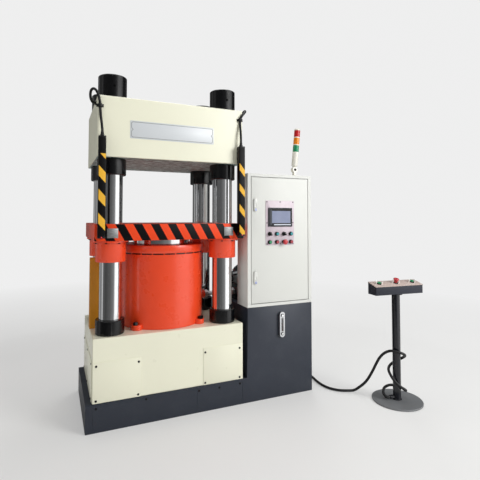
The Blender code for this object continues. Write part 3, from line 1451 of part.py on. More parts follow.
def stand_top_place(x):
    """A place on the middle line of the box's sloping top, with local +Z out of it."""
    middle = STAND_BOX_BOTTOM + (STAND_BOX_REAR_HEIGHT + STAND_BOX_FRONT_HEIGHT) / 2
    slope = Matrix.Rotation(stand_slope(), 4, "X")
    return STAND_PLACE @ at(x, 0, middle) @ slope


def make_stand_box():
    """Folded box with a sloping lid, two palm-button guards and a stop collar."""
    half = STAND_BOX_WIDTH / 2
    bm = bmesh.new()
    ends = []
    for x in (-half, half):
        ends.append([bm.verts.new((x, y, z)) for y, z in box_section()])
    bm.faces.new(ends[0])
    bm.faces.new(list(reversed(ends[1])))
    for i in range(4):
        k = (i + 1) % 4
        bm.faces.new((ends[0][i], ends[1][i], ends[1][k], ends[0][k]))
    bmesh.ops.recalc_face_normals(bm, faces=bm.faces)
    bmesh.ops.transform(bm, matrix=STAND_PLACE, verts=bm.verts)
    box = piece("stand_box", bm, SLATE)
    round_edges(box, PLATE_EDGE / 2)
    lid = bmesh.new()
    depth = STAND_BOX_DEPTH / math.cos(stand_slope()) / 2 + STAND_LID_OVERHANG
    reach = half + STAND_LID_OVERHANG
    add_box(lid, (-reach, -depth, -STAND_LID_THICKNESS / 2), (reach, depth, STAND_LID_THICKNESS))
    bmesh.ops.transform(lid, matrix=stand_top_place(0), verts=lid.verts)
    combine(box, lid, "UNION")
    guards, wells = bmesh.new(), bmesh.new()
    top = STAND_LID_THICKNESS
    for x in (-PALM_SPACING / 2, PALM_SPACING / 2):
        place = stand_top_place(x)
        add_round(guards, PALM_GUARD_RADIUS, top - SINK, top + PALM_GUARD_HEIGHT, place, ROUND_STEPS)
        inner = PALM_GUARD_RADIUS - PALM_GUARD_WALL
        add_round(wells, inner, top, top + PALM_GUARD_HEIGHT + OVERRUN, place, ROUND_STEPS)
    seat_top = top + PALM_SEAT
    stop_top = top + STOP_COLLAR_HEIGHT
    add_round(guards, STOP_COLLAR_RADIUS, top - SINK, stop_top, stand_top_place(0), ROUND_STEPS)
    combine(box, guards, "UNION")
    combine(box, wells, "DIFFERENCE")
    seats, holes = bmesh.new(), bmesh.new()
    for x in (-PALM_SPACING / 2, PALM_SPACING / 2):
        place = stand_top_place(x)
        add_round(seats, PALM_STEM_RADIUS + 2 * PALM_GUARD_WALL, top - SINK, seat_top, place)
        add_round(holes, PALM_STEM_RADIUS + GAP, top, seat_top + OVERRUN, place)
    add_round(holes, PALM_STEM_RADIUS + GAP, top, stop_top + OVERRUN, stand_top_place(0))
    combine(box, seats, "UNION")
    combine(box, holes, "DIFFERENCE")


def make_stand_buttons():
    """Two palm buttons and the stand's emergency stop."""
    top = STAND_LID_THICKNESS
    stem_low = top + CAP_BEHIND
    for side, sign in (("left", -1), ("right", 1)):
        head_low = top + PALM_SEAT + CAP_BEHIND
        profile = mushroom_profile(PALM_STEM_RADIUS, stem_low, PALM_RADIUS, head_low, PALM_HEIGHT)
        place = stand_top_place(sign * PALM_SPACING / 2)
        turned(f"palm_button_{side}", profile, GREEN, SMALL_ROUND_STEPS, place)
    head_low = top + STOP_COLLAR_HEIGHT + STOP_CLEARANCE
    profile = mushroom_profile(PALM_STEM_RADIUS, stem_low, STOP_RADIUS, head_low, PALM_HEIGHT)
    turned("stand_emergency_stop", profile, RED, SMALL_ROUND_STEPS, stand_top_place(0))


# Route of the conduit: out of the cabinet's rear, over the tank's edge, round on the floor,
# up to the stand's pole, two turns down it and into its foot
CONDUIT_ROUTE = [
    (CONDUIT_GLAND_X, CABINET_BACK + CONDUIT_GLAND_LENGTH + GAP, CONDUIT_GLAND_HEIGHT),
    (CONDUIT_GLAND_X, -0.110, CONDUIT_GLAND_HEIGHT),
    (1.072, -0.050, 0.754),
    (1.096, -0.012, 0.738),
    (1.130, 0.008, 0.708),
    (1.160, 0.014, 0.650),
    (1.176, 0.014, 0.560),
    (1.186, 0.010, 0.440),
    (1.196, 0.004, 0.310),
    (1.212, -0.004, 0.190),
    (1.236, -0.022, 0.095),
    (1.258, -0.058, 0.036),
    (1.266, -0.110, 0.0135),
    (1.262, -0.168, 0.0108),
    (1.246, -0.254, 0.0108),
    (1.242, -0.340, 0.0108),
    (1.259, -0.407, 0.0108),
    (1.299, -0.460, 0.0108),
    (1.350, -0.490, 0.0108),
    (1.405, -0.515, 0.016),
    (1.424, -0.555, 0.0530),
    (1.442, -0.591, 0.0950),
    (1.457, -0.619, 0.1430),
    (1.472, -0.646, 0.2030),
    (1.485, -0.668, 0.2600),
    (1.498, -0.690, 0.3080),
    (1.515, -0.715, 0.3440),
    (1.534, -0.743, 0.3660),
    (1.549, -0.774, 0.3740),
    (1.594, -0.808, 0.3620),
    (1.635, -0.798, 0.3380),
    (1.653, -0.759, 0.3080),
    (1.637, -0.716, 0.2760),
    (1.596, -0.700, 0.2480),
    (1.556, -0.716, 0.2220),
    (1.544, -0.756, 0.1840),
    (1.556, -0.789, 0.1480),
    (1.594, -0.808, 0.1120),
    (1.637, -0.800, 0.0840),
    (1.659, -0.759, 0.0780),
    (1.643, -0.711, 0.0840),
    (1.601, -0.682, 0.0860),
    (1.547, -0.681, 0.0740),
    (1.517, -0.702, 0.0500),
    (1.5173, -0.7309, 0.0300),
    (1.5422, -0.7380, 0.0300),
]


def make_conduit():
    points = smooth_route(CONDUIT_ROUTE, CONDUIT_STEP)
    tube("stand_conduit", points, CONDUIT_RADIUS, BLACK_PLASTIC)


LEFT_CABLE_ROUTE = [
    (-POST_SPACING / 2, -0.3975, POST_TOP + GAP),
    (-POST_SPACING / 2, -0.3975, 1.905),
    (-0.490, -0.394, 1.945),
    (-0.495, -0.386, 1.990),
    (-0.498, -0.376, 2.040),
    (-0.500, -0.3735, 2.073),
    (-0.499, -0.377, 2.120),
    (-0.503, -0.374, 2.158),
    (-0.516, -0.350, 2.186),
    (-0.536, -0.320, 2.188),
    (-0.552, -0.298, 2.170),
    (-0.556, -0.280, 2.135),
    (-0.548, -0.268, 2.100),
    (-0.534, -0.264, 2.078),
    (-CROWN_WIDTH / 2 - GAP, -0.264, 2.078),
]
RIGHT_CABLE_ROUTE = [
    (POST_SPACING / 2, -0.3975, POST_TOP + GAP),
    (POST_SPACING / 2, -0.3975, 1.905),
    (0.488, -0.394, 1.945),
    (0.489, -0.386, 1.990),
    (0.490, -0.376, 2.040),
    (0.491, -0.3735, 2.073),
    (0.496, -0.375, 2.110),
    (0.512, -0.374, 2.138),
    (0.530, -0.362, 2.150),
    (0.544, -0.342, 2.142),
    (0.550, -0.320, 2.118),
    (0.544, -0.302, 2.090),
    (0.532, -0.298, 2.068),
    (CROWN_WIDTH / 2 + GAP, -0.298, 2.068),
]
CLIP_POINT = 5

make_oil_tank()
make_bed()
make_front_covers()
make_side_cover()
for corner_name, (corner_x, corner_y) in COLUMN_PLACES.items():
    make_column(corner_name, corner_x, corner_y)
    make_top_nut(corner_name, corner_x, corner_y)
    make_upper_collar(corner_name, corner_x, corner_y)
    make_lower_collar(corner_name, corner_x, corner_y)
make_crown()
make_cylinder_barrel()
make_cylinder_gland()
make_ram()
make_platen()
make_light_curtain("left", -1)
make_light_curtain("right", 1)
make_curtain_cable("left", LEFT_CABLE_ROUTE)
make_curtain_cable("right", RIGHT_CABLE_ROUTE)
make_switch_guard()
make_oil_gauge()
make_cabinet()
make_mounting_plate()
make_door()
for lever_name, lever_height in LOCK_HEIGHTS.items():
    make_lock_lever(lever_name, lever_height)
make_control_panel()
make_touch_screen()
make_selector("selector_left", 0, "upper")
make_push_button("reset_button", 1, "upper", TEAL)
make_selector("selector_right", 2, "upper")
make_push_button("light_button", 3, "upper", TEAL)
make_push_button("start_button", 0, "lower", GREEN)
make_push_button("stop_button", 1, "lower", RED)
make_panel_stop()
make_push_button("return_button", 3, "lower", RED)
make_tower_bracket()
make_tower_light()
make_pump_motor()
make_pump()
make_valve_block()
make_pressure_pipe()
make_stand_base()
make_stand_pole()
make_stand_box()
make_stand_buttons()
make_conduit()
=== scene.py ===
"""Looks of the four-column press: fine form, surface finish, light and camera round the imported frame.

Metres, +Z up, the frame's own axes. Every piece is made where the frame says it is. A piece is a
list of shapes, and a shape is written as its maker with the maker's values.
"""
import math

import bmesh
import bpy
from mathutils import Matrix, Vector


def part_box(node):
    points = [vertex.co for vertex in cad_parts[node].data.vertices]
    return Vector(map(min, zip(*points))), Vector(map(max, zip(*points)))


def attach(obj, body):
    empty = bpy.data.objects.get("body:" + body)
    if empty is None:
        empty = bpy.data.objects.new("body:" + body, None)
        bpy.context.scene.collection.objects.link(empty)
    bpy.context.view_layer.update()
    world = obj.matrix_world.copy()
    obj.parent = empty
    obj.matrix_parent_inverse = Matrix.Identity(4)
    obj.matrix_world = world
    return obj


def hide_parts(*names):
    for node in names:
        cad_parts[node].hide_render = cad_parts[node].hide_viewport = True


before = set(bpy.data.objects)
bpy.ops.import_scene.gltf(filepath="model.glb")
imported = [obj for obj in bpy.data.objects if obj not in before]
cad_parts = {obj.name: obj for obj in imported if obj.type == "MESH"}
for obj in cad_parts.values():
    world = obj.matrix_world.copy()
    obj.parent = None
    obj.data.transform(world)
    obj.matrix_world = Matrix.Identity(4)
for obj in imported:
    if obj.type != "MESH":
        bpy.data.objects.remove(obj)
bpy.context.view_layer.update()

# Camera, found from the photograph: place, heading, lens and picture shift
CAMERA_PLACE = (-0.7605, -3.0314, 1.3527)
CAMERA_YAW_DEG = -23.206
CAMERA_PITCH_DEG = 92.087
CAMERA_ROLL_DEG = 0.077
CAMERA_LENS = 30.06
CAMERA_SHIFT = (0.0291, -0.0769)

# Light: place, diameter and power of each lamp, and the even surroundings
SKY_STRENGTH = 0.40
BACKDROP_STRENGTH = 0.86
LAMP_TARGET = (0.5, 0, 1.0)
LAMPS = {
    "key": ((4.4, -5.2, 3.8), 3.4, 345),
    "fill": ((-5.2, -3.0, 2.4), 3.0, 40),
    "top": ((0.6, 0.6, 6.5), 3.5, 90),
    "rim": ((3.5, 4.5, 3.4), 3.0, 70),
}

# Ring of soft bands that only polished surfaces show: share of the turn from -X, and level
BAND_RADIUS = 2.6
BAND_HEIGHT = 4.0
BAND_FOOT = 0.001
BAND_SIDES = 96
BAND_CENTRE = (0.4, 0, 0)
BANDS = (
    (0.000, 0.30), (0.014, 0.80), (0.028, 0.12), (0.080, 0.07), (0.165, 0.11), (0.245, 0.20),
    (0.285, 0.34), (0.305, 1.20), (0.390, 1.50), (0.435, 1.20), (0.455, 0.07), (0.500, 0.02),
    (0.575, 0.04), (0.583, 0.50), (0.592, 0.05), (0.700, 0.05), (0.800, 0.12), (0.890, 0.15),
    (0.915, 0.60), (0.940, 0.18), (1.000, 0.35),
)
BAND_RIPPLES = 96
RIPPLE_LEVELS = (0.80, 1.20)

# Floor: its side, the distances over which it fades into the backdrop, and the share that it starts with
FLOOR_SIZE = 80
FLOOR_FADE = (1.8, 6.0)
FLOOR_SHARE = 0.35

# Colours as they are written on a colour card
PALETTE = {
    "cream": "#E9E8D2", "orange": "#E9471F", "slate": "#222834", "dark_slate": "#10121A",
    "stand": "#181C28", "off_white": "#D7D8D3", "black": "#08080A", "soft_black": "#101012",
    "tape_black": "#070708", "tape_yellow": "#E8B23A", "mustard": "#D28C12", "laminate": "#C8BAC2",
    "lamp_white": "#E9E6DD", "guard_white": "#F2F1EC", "motor": "#2C4A63", "red": "#BC2E36",
    "cap_red": "#A2303B", "green": "#0A8452", "teal": "#2A8C92", "blue": "#1E56C8",
    "fluid": "#8A1712", "window": "#1A0506", "steel": "#9A9C9C", "bright": "#C9CACC",
    "chrome": "#E2E3E4", "dull": "#77797A", "plate": "#CFD3D6", "beige": "#BCABA3",
    "base_grey": "#6D6F71", "machined_dark": "#566261", "machined_light": "#CEE6E2",
    "housing": "#151922", "screen_blue": "#727A94", "painted_glare_pale": "#B4BAC4",
    "lens_green": "#0F8A5B", "amber": "#F08A12", "lens_red": "#C21A22", "floor": "#DCDCDA",
}

# Fineness, and the angle from which an edge is sharp
FINEST, ROUND, MEDIUM, SMALL_ROUND, COARSE, PAN_SIDES = 144, 96, 48, 32, 24, 20
SHARP_DEG, HEAD_SHARP_DEG, CAP_SHARP_DEG, RIB_SHARP_DEG = 38, 50, 60, 80

# Scales of surface patterns, per metre, and depths of bumps
CLOUD_SCALE, FILM_SCALE, GLOSS_SCALE, PEEL_SCALE, SPECK_SCALE = 2.2, 9, 14, 420, 900
PEEL_DEPTH, GRAIN_DEPTH, SPECK_DEPTH = 0.0004, 0.0003, 0.0002


def tone(name, factor=1.0):
    """A palette colour in linear light."""
    code = PALETTE[name]
    channels = [int(code[i:i + 2], 16) / 255 for i in (1, 3, 5)]
    linear = [c / 12.92 if c <= 0.04045 else ((c + 0.055) / 1.055) ** 2.4 for c in channels]
    return [min(1.0, factor * c) for c in linear] + [1.0]


class Nodes:
    """A material or world under construction: short ways to add and join its nodes."""

    def __init__(self, name, kind="materials"):
        self.owner = getattr(bpy.data, kind).new(name)
        self.owner.use_nodes = True
        self.tree = self.owner.node_tree
        self.shader = self.tree.nodes["Background" if kind == "worlds" else "Principled BSDF"]

    def feed(self, value, socket):
        """Joins a node's output to a socket, or writes a value into it."""
        if isinstance(value, bpy.types.NodeSocket):
            self.tree.links.new(value, socket)
        else:
            socket.default_value = value

    def add(self, kind, inputs=(), **settings):
        node = self.tree.nodes.new(kind)
        for key, value in settings.items():
            setattr(node, key, value)
        for key, value in dict(inputs).items():
            self.feed(value, node.inputs[key])
        return node

    def place(self, stretch=(1, 1, 1)):
        """Object coordinates, in metres, stretched along the axes."""
        coordinates = self.add("ShaderNodeTexCoord").outputs["Object"]
        return self.add("ShaderNodeMapping", {"Vector": coordinates, "Scale": stretch}).outputs[0]

    def noise(self, scale, detail=3.0, stretch=(1, 1, 1), rough=0.5):
        inputs = {"Vector": self.place(stretch), "Scale": scale, "Detail": detail, "Roughness": rough}
        return self.add("ShaderNodeTexNoise", inputs).outputs["Fac"]

    def split(self, kind, output):
        """The three parts of a vector that a node gives."""
        return self.add("ShaderNodeSeparateXYZ", {0: self.add(kind).outputs[output]}).outputs

    def span(self, value, low, high, from_low=0.3, from_high=0.7):
        inputs = {0: value, 1: from_low, 2: from_high, 3: low, 4: high}
        return self.add("ShaderNodeMapRange", inputs).outputs[0]

    def math(self, operation, first, second=0.0):
        return self.add("ShaderNodeMath", {0: first, 1: second}, operation=operation).outputs[0]

    def mix(self, factor, first, second):
        node = self.add("ShaderNodeMix", data_type="RGBA")
        for index, value in ((0, factor), (6, first), (7, second)):
            self.feed(value, node.inputs[index])
        return node.outputs[2]

    def shades(self, factor, colour, low, high):
        """A colour that wanders between two strengths of itself."""
        return self.mix(factor, tone(colour, low), tone(colour, high))

    def bump(self, height, strength, distance):
        inputs = {"Height": height, "Strength": strength, "Distance": distance}
        return self.add("ShaderNodeBump", inputs).outputs[0]

    def set(self, **inputs):
        """Sets or joins the shader's own sockets; an underscore stands for a space."""
        for key, value in inputs.items():
            self.feed(value, self.shader.inputs[key.replace("_", " ")])
        return self.owner

    def show(self, shader):
        """Puts another shader on the surface."""
        self.tree.links.new(shader, self.tree.nodes["Material Output"].inputs["Surface"])
        return self.owner


def sprayed(name, colour, roughness=0.35, cloud=0.05, peel=0.12, coat=0.0, dust=0.0, shine=0.5):
    """Sprayed or powder-coated paint: faint clouds, uneven gloss and orange peel."""
    made = Nodes(name)
    base = made.shades(made.span(made.noise(CLOUD_SCALE, 4), 0, 1), colour, 1 - cloud, 1 + cloud)
    if dust:
        film = made.span(made.noise(FILM_SCALE, 8, rough=0.7), 0, dust, 0.5, 0.85)
        base = made.mix(film, base, tone("dull", 1.4))
    gloss = made.span(made.noise(GLOSS_SCALE, 4), roughness - 0.05, roughness + 0.05)
    peels = made.bump(made.noise(PEEL_SCALE, 2), peel, PEEL_DEPTH)
    made.set(Base_Color=base, Roughness=gloss, Normal=peels, Specular_IOR_Level=shine)
    return made.set(Coat_Weight=coat, Coat_Roughness=0.08)


def machined_below(name, colour, level=-0.9):
    """Sprayed paint, with bare machined steel on every face that looks down."""
    made = Nodes(name)
    bare = made.math("LESS_THAN", made.split("ShaderNodeNewGeometry", "Normal")[2], level)
    paint = made.shades(made.span(made.noise(CLOUD_SCALE, 4), 0, 1), colour, 0.98, 1.02)
    marks = made.span(made.noise(16, 8, (1, 3, 1), 0.7), 0, 1, 0.42, 0.58)
    steel = made.mix(marks, tone("machined_dark"), tone("machined_light"))
    gloss = made.span(bare, 0.32, 0.48, 0, 1)
    peels = made.bump(made.noise(PEEL_SCALE, 2), 0.15, PEEL_DEPTH)
    made.set(Base_Color=made.mix(bare, paint, steel), Roughness=gloss, Normal=peels)
    return made.set(Metallic=made.math("MULTIPLY", bare, 0.3))


def metal(name, colour, roughness=0.25, grain=(1, 1, 1), streak=0.06, scale=90):
    """Bare metal, brushed, ground or turned along the axis that the grain is squeezed on."""
    made = Nodes(name)
    marks = made.noise(scale, 5, grain, 0.65)
    base = made.shades(made.span(marks, 0, 1), colour, 1 - streak, 1 + streak)
    gloss = made.span(marks, max(0.02, roughness - 0.05), roughness + 0.06)
    made.set(Base_Color=base, Metallic=1.0, Roughness=gloss)
    return made.set(Normal=made.bump(marks, 0.08, GRAIN_DEPTH))


def moulded(name, colour, roughness=0.4, grain=0.15, coat=0.0, glow=0.0, shine=0.5):
    """Moulded plastic or rubber with a fine spark-eroded grain."""
    made = Nodes(name)
    speck = made.noise(SPECK_SCALE, 2)
    base = made.shades(made.span(made.noise(30, 3), 0, 1), colour, 0.94, 1.05)
    gloss = made.span(speck, roughness - 0.04, roughness + 0.04)
    made.set(Base_Color=base, Roughness=gloss, Normal=made.bump(speck, grain, SPECK_DEPTH))
    if glow:
        made.set(Emission_Color=tone(colour), Emission_Strength=glow)
    return made.set(Coat_Weight=coat, Coat_Roughness=0.05, Specular_IOR_Level=shine)


def striped(name, light, period, share, slope, start, limit=None):
    """Warning stripes: light where the slanted place, counted from start, is in its share of a period."""
    made = Nodes(name)
    x, _, z = made.split("ShaderNodeTexCoord", "Object")
    slanted = made.math("MULTIPLY", x, slope[0])
    slanted = made.math("ADD", slanted, made.math("MULTIPLY", z, slope[1]))
    wobble = made.span(made.noise(160, 2), -0.0004, 0.0004)
    phase = made.math("ADD", made.math("SUBTRACT", slanted, start), wobble)
    phase = made.math("FRACT", made.math("DIVIDE", phase, period))
    on = made.math("LESS_THAN", phase, share)
    if limit is not None:
        on = made.math("MULTIPLY", on, made.math("LESS_THAN", z, limit))
    shade = made.span(made.noise(24, 4), 0, 1)
    dark_side = made.shades(shade, "tape_black", 0.9, 1.1)
    light_side = made.shades(shade, light, 0.95, 1.03)
    gloss = made.span(made.noise(40, 3), 0.42, 0.54)
    grain = made.bump(made.noise(500, 2), 0.1, GRAIN_DEPTH)
    made.set(Base_Color=made.mix(on, dark_side, light_side), Roughness=gloss, Normal=grain)
    return made.set(Specular_IOR_Level=0.15)


def clear(name, colour, roughness=0.05, ior=1.5):
    """Clear moulded plastic or glass."""
    made = Nodes(name)
    tint = made.shades(made.span(made.noise(60, 2), 0, 1), colour, 0.95, 1.0)
    return made.set(Base_Color=tint, Roughness=roughness, IOR=ior, Transmission_Weight=0.9)


CREAM = sprayed("cream_paint_finish", "cream", 0.32, 0.02, 0.15, 0.2)
CROWN_CREAM = machined_below("crown_paint_finish", "cream")
ORANGE = sprayed("orange_paint_finish", "orange", 0.30, 0.02, 0.015, 0.35)
SLATE = sprayed("slate_paint_finish", "slate", 0.45, 0.05, 0.3, 0.0, 0.04)
DARK_SLATE = sprayed("dark_slate_finish", "dark_slate", 0.16, 0.05, 0.02)
STAND_SLATE = sprayed("stand_box_finish", "stand", 0.45, 0.05, 0.3, shine=0.35)
OFF_WHITE = sprayed("off_white_finish", "off_white", 0.50, 0.015, 0.25, shine=0.35)
MUSTARD = sprayed("mustard_finish", "mustard", 0.42, 0.05, 0.2, 0.1)
MOTOR_BLUE = sprayed("motor_paint_finish", "motor", 0.42, 0.06, 0.25, 0.1)
BLACK_STEEL = sprayed("blackened_steel_finish", "black", 0.18, 0.25, 0.02, shine=0.45)
PLATE = sprayed("name_plate_finish", "plate", 0.36, 0.015, 0.05)
BEIGE = sprayed("beige_lid_finish", "beige", 0.40, 0.05, 0.2, 0.1)
BASE_GREY = sprayed("stand_foot_finish", "base_grey", 0.40, 0.06, 0.25, 0.1)
CHROME = metal("hard_chrome_finish", "chrome", 0.07, (8, 8, 0.3), 0.04, 60)
STEEL = metal("bare_steel_finish", "steel", 0.32, (1, 1, 1), 0.08, 120)
BRUSHED = metal("brushed_steel_finish", "steel", 0.50, (0.5, 1, 9), 0.45, 60)
ZINC = metal("zinc_finish", "bright", 0.30, (1, 1, 1), 0.10, 200)
BLACK_SCREW = moulded("black_oxide_screw", "black", 0.34, 0.05, shine=0.25)
BLACK_PLASTIC = moulded("black_plastic_finish", "soft_black", 0.42, 0.2, shine=0.3)
BLACK_RUBBER = moulded("black_rubber_finish", "soft_black", 0.45, 0.25, shine=0.35)
POST_BLACK = moulded("post_side_finish", "black", 0.42, 0.08, shine=0.15)
LAMINATE = moulded("panel_laminate_finish", "laminate", 0.42, 0.12)
LAMP_WHITE = moulded("lamp_white_finish", "lamp_white", 0.36, 0.08, 0.2)
GUARD_WHITE = moulded("guard_white_finish", "guard_white", 0.40, 0.05)
WHITE_PLASTIC = moulded("white_plastic_finish", "off_white", 0.36, 0.08)
RED = moulded("red_plastic_finish", "red", 0.28, 0.04, 0.4)
CAP_RED = moulded("red_cap_finish", "cap_red", 0.28, 0.04, 0.4)
GREEN = moulded("green_plastic_finish", "green", 0.28, 0.04, 0.4)
TEAL = moulded("teal_plastic_finish", "teal", 0.28, 0.04, 0.4)
BLUE = moulded("blue_plastic_finish", "blue", 0.32, 0.04)
DUCT_GREY = moulded("duct_grey_finish", "steel", 0.45, 0.15)
BORDER_GREY = moulded("etched_border_finish", "dull", 0.5, 0.05)
RED_GLASS = moulded("curtain_window_finish", "window", 0.12, 0.0, shine=0.2)
LED_RED = moulded("lit_red_lamp", "red", 0.2, 0.0, 0.5, 1.6)
SCREEN_GREY = moulded("screen_housing_finish", "housing", 0.40, 0.2, shine=0.35)
SCREEN_BLACK = moulded("screen_glass_finish", "black", 0.12, 0.0, 0.35, shine=0.3)
SCREEN_LIT = moulded("screen_display_finish", "screen_blue", 0.12, 0.0, 0.8, 0.22)
# Pale glowing strip low on the screen: painted glare, a highlight standing in for a reflection
SCREEN_PAINTED_GLARE = moulded("screen_painted_glare_finish", "painted_glare_pale", 0.12, 0.0, 0.8, 0.35)
SCREEN_EDGE = moulded("screen_edge_finish", "slate", 0.12, 0.0, 0.8, 0.35)
LENS_GREEN = moulded("green_lens_finish", "lens_green", 0.16, 0.0, 0.7)
LENS_AMBER = moulded("amber_lens_finish", "amber", 0.16, 0.0, 0.7)
LENS_RED = moulded("red_lens_finish", "lens_red", 0.16, 0.0, 0.7)
GAUGE_GLASS = clear("gauge_tube_finish", "bright")
GAUGE_FLUID = moulded("gauge_fluid_finish", "fluid", 0.12, 0.0, 0.8)

# Stripes: period, share of it, slope along X and Z, start, and the height above which they end
PLATEN_SLOPE = 62 / 111
STRIPES_TOP = 1.757
PLATEN_STRIPES = striped(
    "platen_warning_stripes", "orange", 0.116, 0.49, (1, PLATEN_SLOPE), -0.454 + 1.311 * PLATEN_SLOPE
)
POST_STRIPES = {
    "left": striped("post_stripes_left", "tape_yellow", 0.150, 0.44, (1.10, 1), 1.05755, STRIPES_TOP),
    "right": striped("post_stripes_right", "tape_yellow", 0.1475, 0.34, (1.18, 1), 2.24661, STRIPES_TOP),
}

HERE = Matrix.Identity(4)
RIGHT = Matrix.Rotation(math.radians(90), 4, "Y")
LEFT = Matrix.Rotation(math.radians(-90), 4, "Y")
FRONT = Matrix.Rotation(math.radians(90), 4, "X")
REAR = Matrix.Rotation(math.radians(-90), 4, "X")
DOWN = Matrix.Rotation(math.radians(180), 4, "X")


def at(x, y, z=0.0):
    return Matrix.Translation((x, y, z))


def turned(degrees, axis="Z"):
    return Matrix.Rotation(math.radians(degrees), 4, axis)


def turns(count, first=0.0):
    """Even turns about local Z, of which the first is a share of a step."""
    return [Matrix.Rotation(math.tau * (i + first) / count, 4, "Z") for i in range(count)]


def polar(points):
    """XY corners of points written as a radius and a share of a turn."""
    return [(r * math.cos(math.tau * t), r * math.sin(math.tau * t)) for r, t in points]


def circle(place, count, reach, rise, first=0.0):
    """Places on a circle round local Z, its first a share of a step round."""
    return [place @ turn @ at(reach, 0, rise) for turn in turns(count, first)]


def round_edges(bm, edges, radius, segments):
    bmesh.ops.bevel(bm, geom=edges, offset=radius, segments=segments, profile=0.5, affect="EDGES")


def block(bm, low, high, radius=0.0, segments=2, place=HERE):
    """Adds a box between two corners, with rounded edges."""
    low, high = Vector(low), Vector(high)
    matrix = place @ Matrix.Translation((low + high) / 2) @ Matrix.Diagonal((*(high - low), 1))
    corners = bmesh.ops.create_cube(bm, size=1, matrix=matrix)["verts"]
    if radius:
        edges = list(dict.fromkeys(edge for corner in corners for edge in corner.link_edges))
        round_edges(bm, edges, radius, segments)


def slab(x, half, front, back, low, high, radius=0.0, segments=2):
    """The shape of an upright box with its middle at x."""
    return block, (x - half, front, low), (x + half, back, high), radius, segments


def lathe(bm, profile, place=HERE, steps=ROUND):
    """Adds a turned shape from (radius, height) points, from the top of its axis out and down."""
    rings = []
    for radius, height in profile:
        corners = polar((radius, i / steps) for i in range(steps if radius > 0 else 1))
        rings.append([bm.verts.new(place @ Vector((x, y, height))) for x, y in corners])
    for upper, lower in zip(rings, rings[1:]):
        for i in range(steps):
            k = (i + 1) % steps
            corners = [upper[i % len(upper)], lower[i % len(lower)]]
            corners += [lower[k % len(lower)], upper[k % len(upper)]]
            corners = list(dict.fromkeys(corners))
            if len(corners) > 2:
                bm.faces.new(corners)
    bmesh.ops.remove_doubles(bm, verts=[v for ring in rings for v in ring], dist=1e-7)


def ring(bm, inner, outer, low, high, chamfer, place=HERE, steps=ROUND):
    """Adds a turned ring with both outer edges and both inner edges broken."""
    bore = chamfer / 2
    profile = [
        (inner + bore, high), (outer - chamfer, high), (outer, high - chamfer), (outer, low + chamfer),
        (outer - chamfer, low), (inner + bore, low), (inner, low + bore), (inner, high - bore),
        (inner + bore, high),
    ]
    lathe(bm, profile, place, steps)


def disc(bm, radius, low, high, chamfer, place=HERE, steps=SMALL_ROUND):
    """Adds a solid round with both edges broken."""
    profile = [
        (0, high), (radius - chamfer, high), (radius, high - chamfer),
        (radius, low + chamfer), (radius - chamfer, low), (0, low),
    ]
    lathe(bm, profile, place, steps)


def stack(steps, place, sides=SMALL_ROUND):
    """The shapes of rounds on one axis, each step a radius, two levels and a broken edge."""
    return [(disc, *step, place, sides) for step in steps]


def each(maker, spots, *values):
    """The shapes of one fastener on each spot."""
    return [(maker, spot, *values) for spot in spots]


def prism(bm, outline, low, high, place=HERE, radius=0.0, segments=2):
    """Adds a closed outline in XY, raised from low to high, with its edges rounded."""
    base = [bm.verts.new(place @ Vector((x, y, low))) for x, y in outline]
    top = [bm.verts.new(place @ Vector((x, y, high))) for x, y in outline]
    faces = [bm.faces.new(list(reversed(base))), bm.faces.new(top)]
    count = len(outline)
    for i in range(count):
        k = (i + 1) % count
        faces.append(bm.faces.new((base[i], base[k], top[k], top[i])))
    if radius:
        edges = list(dict.fromkeys(edge for face in faces for edge in face.edges))
        round_edges(bm, edges, radius, segments)


def sweep(bm, points, radii, sides=16):
    """Adds a tube with flat ends along points, one radius to a point."""
    direction = (points[1] - points[0]).normalized()
    side = direction.orthogonal().normalized()
    rings = []
    for i, point in enumerate(points):
        ahead = points[min(i + 1, len(points) - 1)]
        behind = points[max(i - 1, 0)]
        heading = (ahead - behind).normalized()
        side = direction.rotation_difference(heading) @ side
        side = (side - side.project(heading)).normalized()
        direction = heading
        across = direction.cross(side)
        corners = polar((radii[i], k / sides) for k in range(sides))
        rings.append([bm.verts.new(point + x * side + y * across) for x, y in corners])
    for first, second in zip(rings, rings[1:]):
        for k in range(sides):
            m = (k + 1) % sides
            bm.faces.new((first[k], first[m], second[m], second[k]))
    bm.faces.new(list(reversed(rings[0])))
    bm.faces.new(rings[-1])


# Hexagon heads: shares of the width across flats, and the crown's share of the height
WASHER_SHARE, HEX_RADIUS_SHARE, HEX_CROWN_SHARE = 0.62, 0.577, 0.14


def hex_bolt(bm, place, across, height, washer=0.0018):
    """Adds a hexagon head with a turned-off crown on its washer."""
    disc(bm, WASHER_SHARE * across, 0, washer, washer / 4, place)
    head = place @ at(0, 0, washer + height / 2)
    radius = HEX_RADIUS_SHARE * across
    made = bmesh.ops.create_cone(
        bm, cap_ends=True, segments=6, radius1=radius, radius2=radius, depth=height, matrix=head
    )
    top = [v for v in made["verts"] if (head.inverted() @ v.co).z > 0]
    edges = list(dict.fromkeys(e for v in top for e in v.link_edges if e.other_vert(v) in top))
    round_edges(bm, edges, HEX_CROWN_SHARE * height, 2)


# Screw heads: shares of the radius and of the height, from the middle of the top out and down
SOCKET_EDGE_SHARE = 0.12
SOCKET_HEAD_SHARES = ((0, 0.45), (0.52, 0.5), (0.56, 1), (0.88, 1), (1, None), (1, 0), (0, 0))
PAN_HEAD_SHARES = (
    (0, 0.55), (0.30, 0.60), (0.36, 1), (0.72, 0.88), (0.94, 0.52), (1, 0.15), (1, -0.2), (0, -0.2),
)


def socket_screw(bm, place, radius, height):
    """Adds a cylinder-head screw with its socket; its edge is broken by a share of its radius."""
    edge = height - SOCKET_EDGE_SHARE * radius
    profile = [(r * radius, edge if h is None else h * height) for r, h in SOCKET_HEAD_SHARES]
    lathe(bm, profile, place, COARSE)


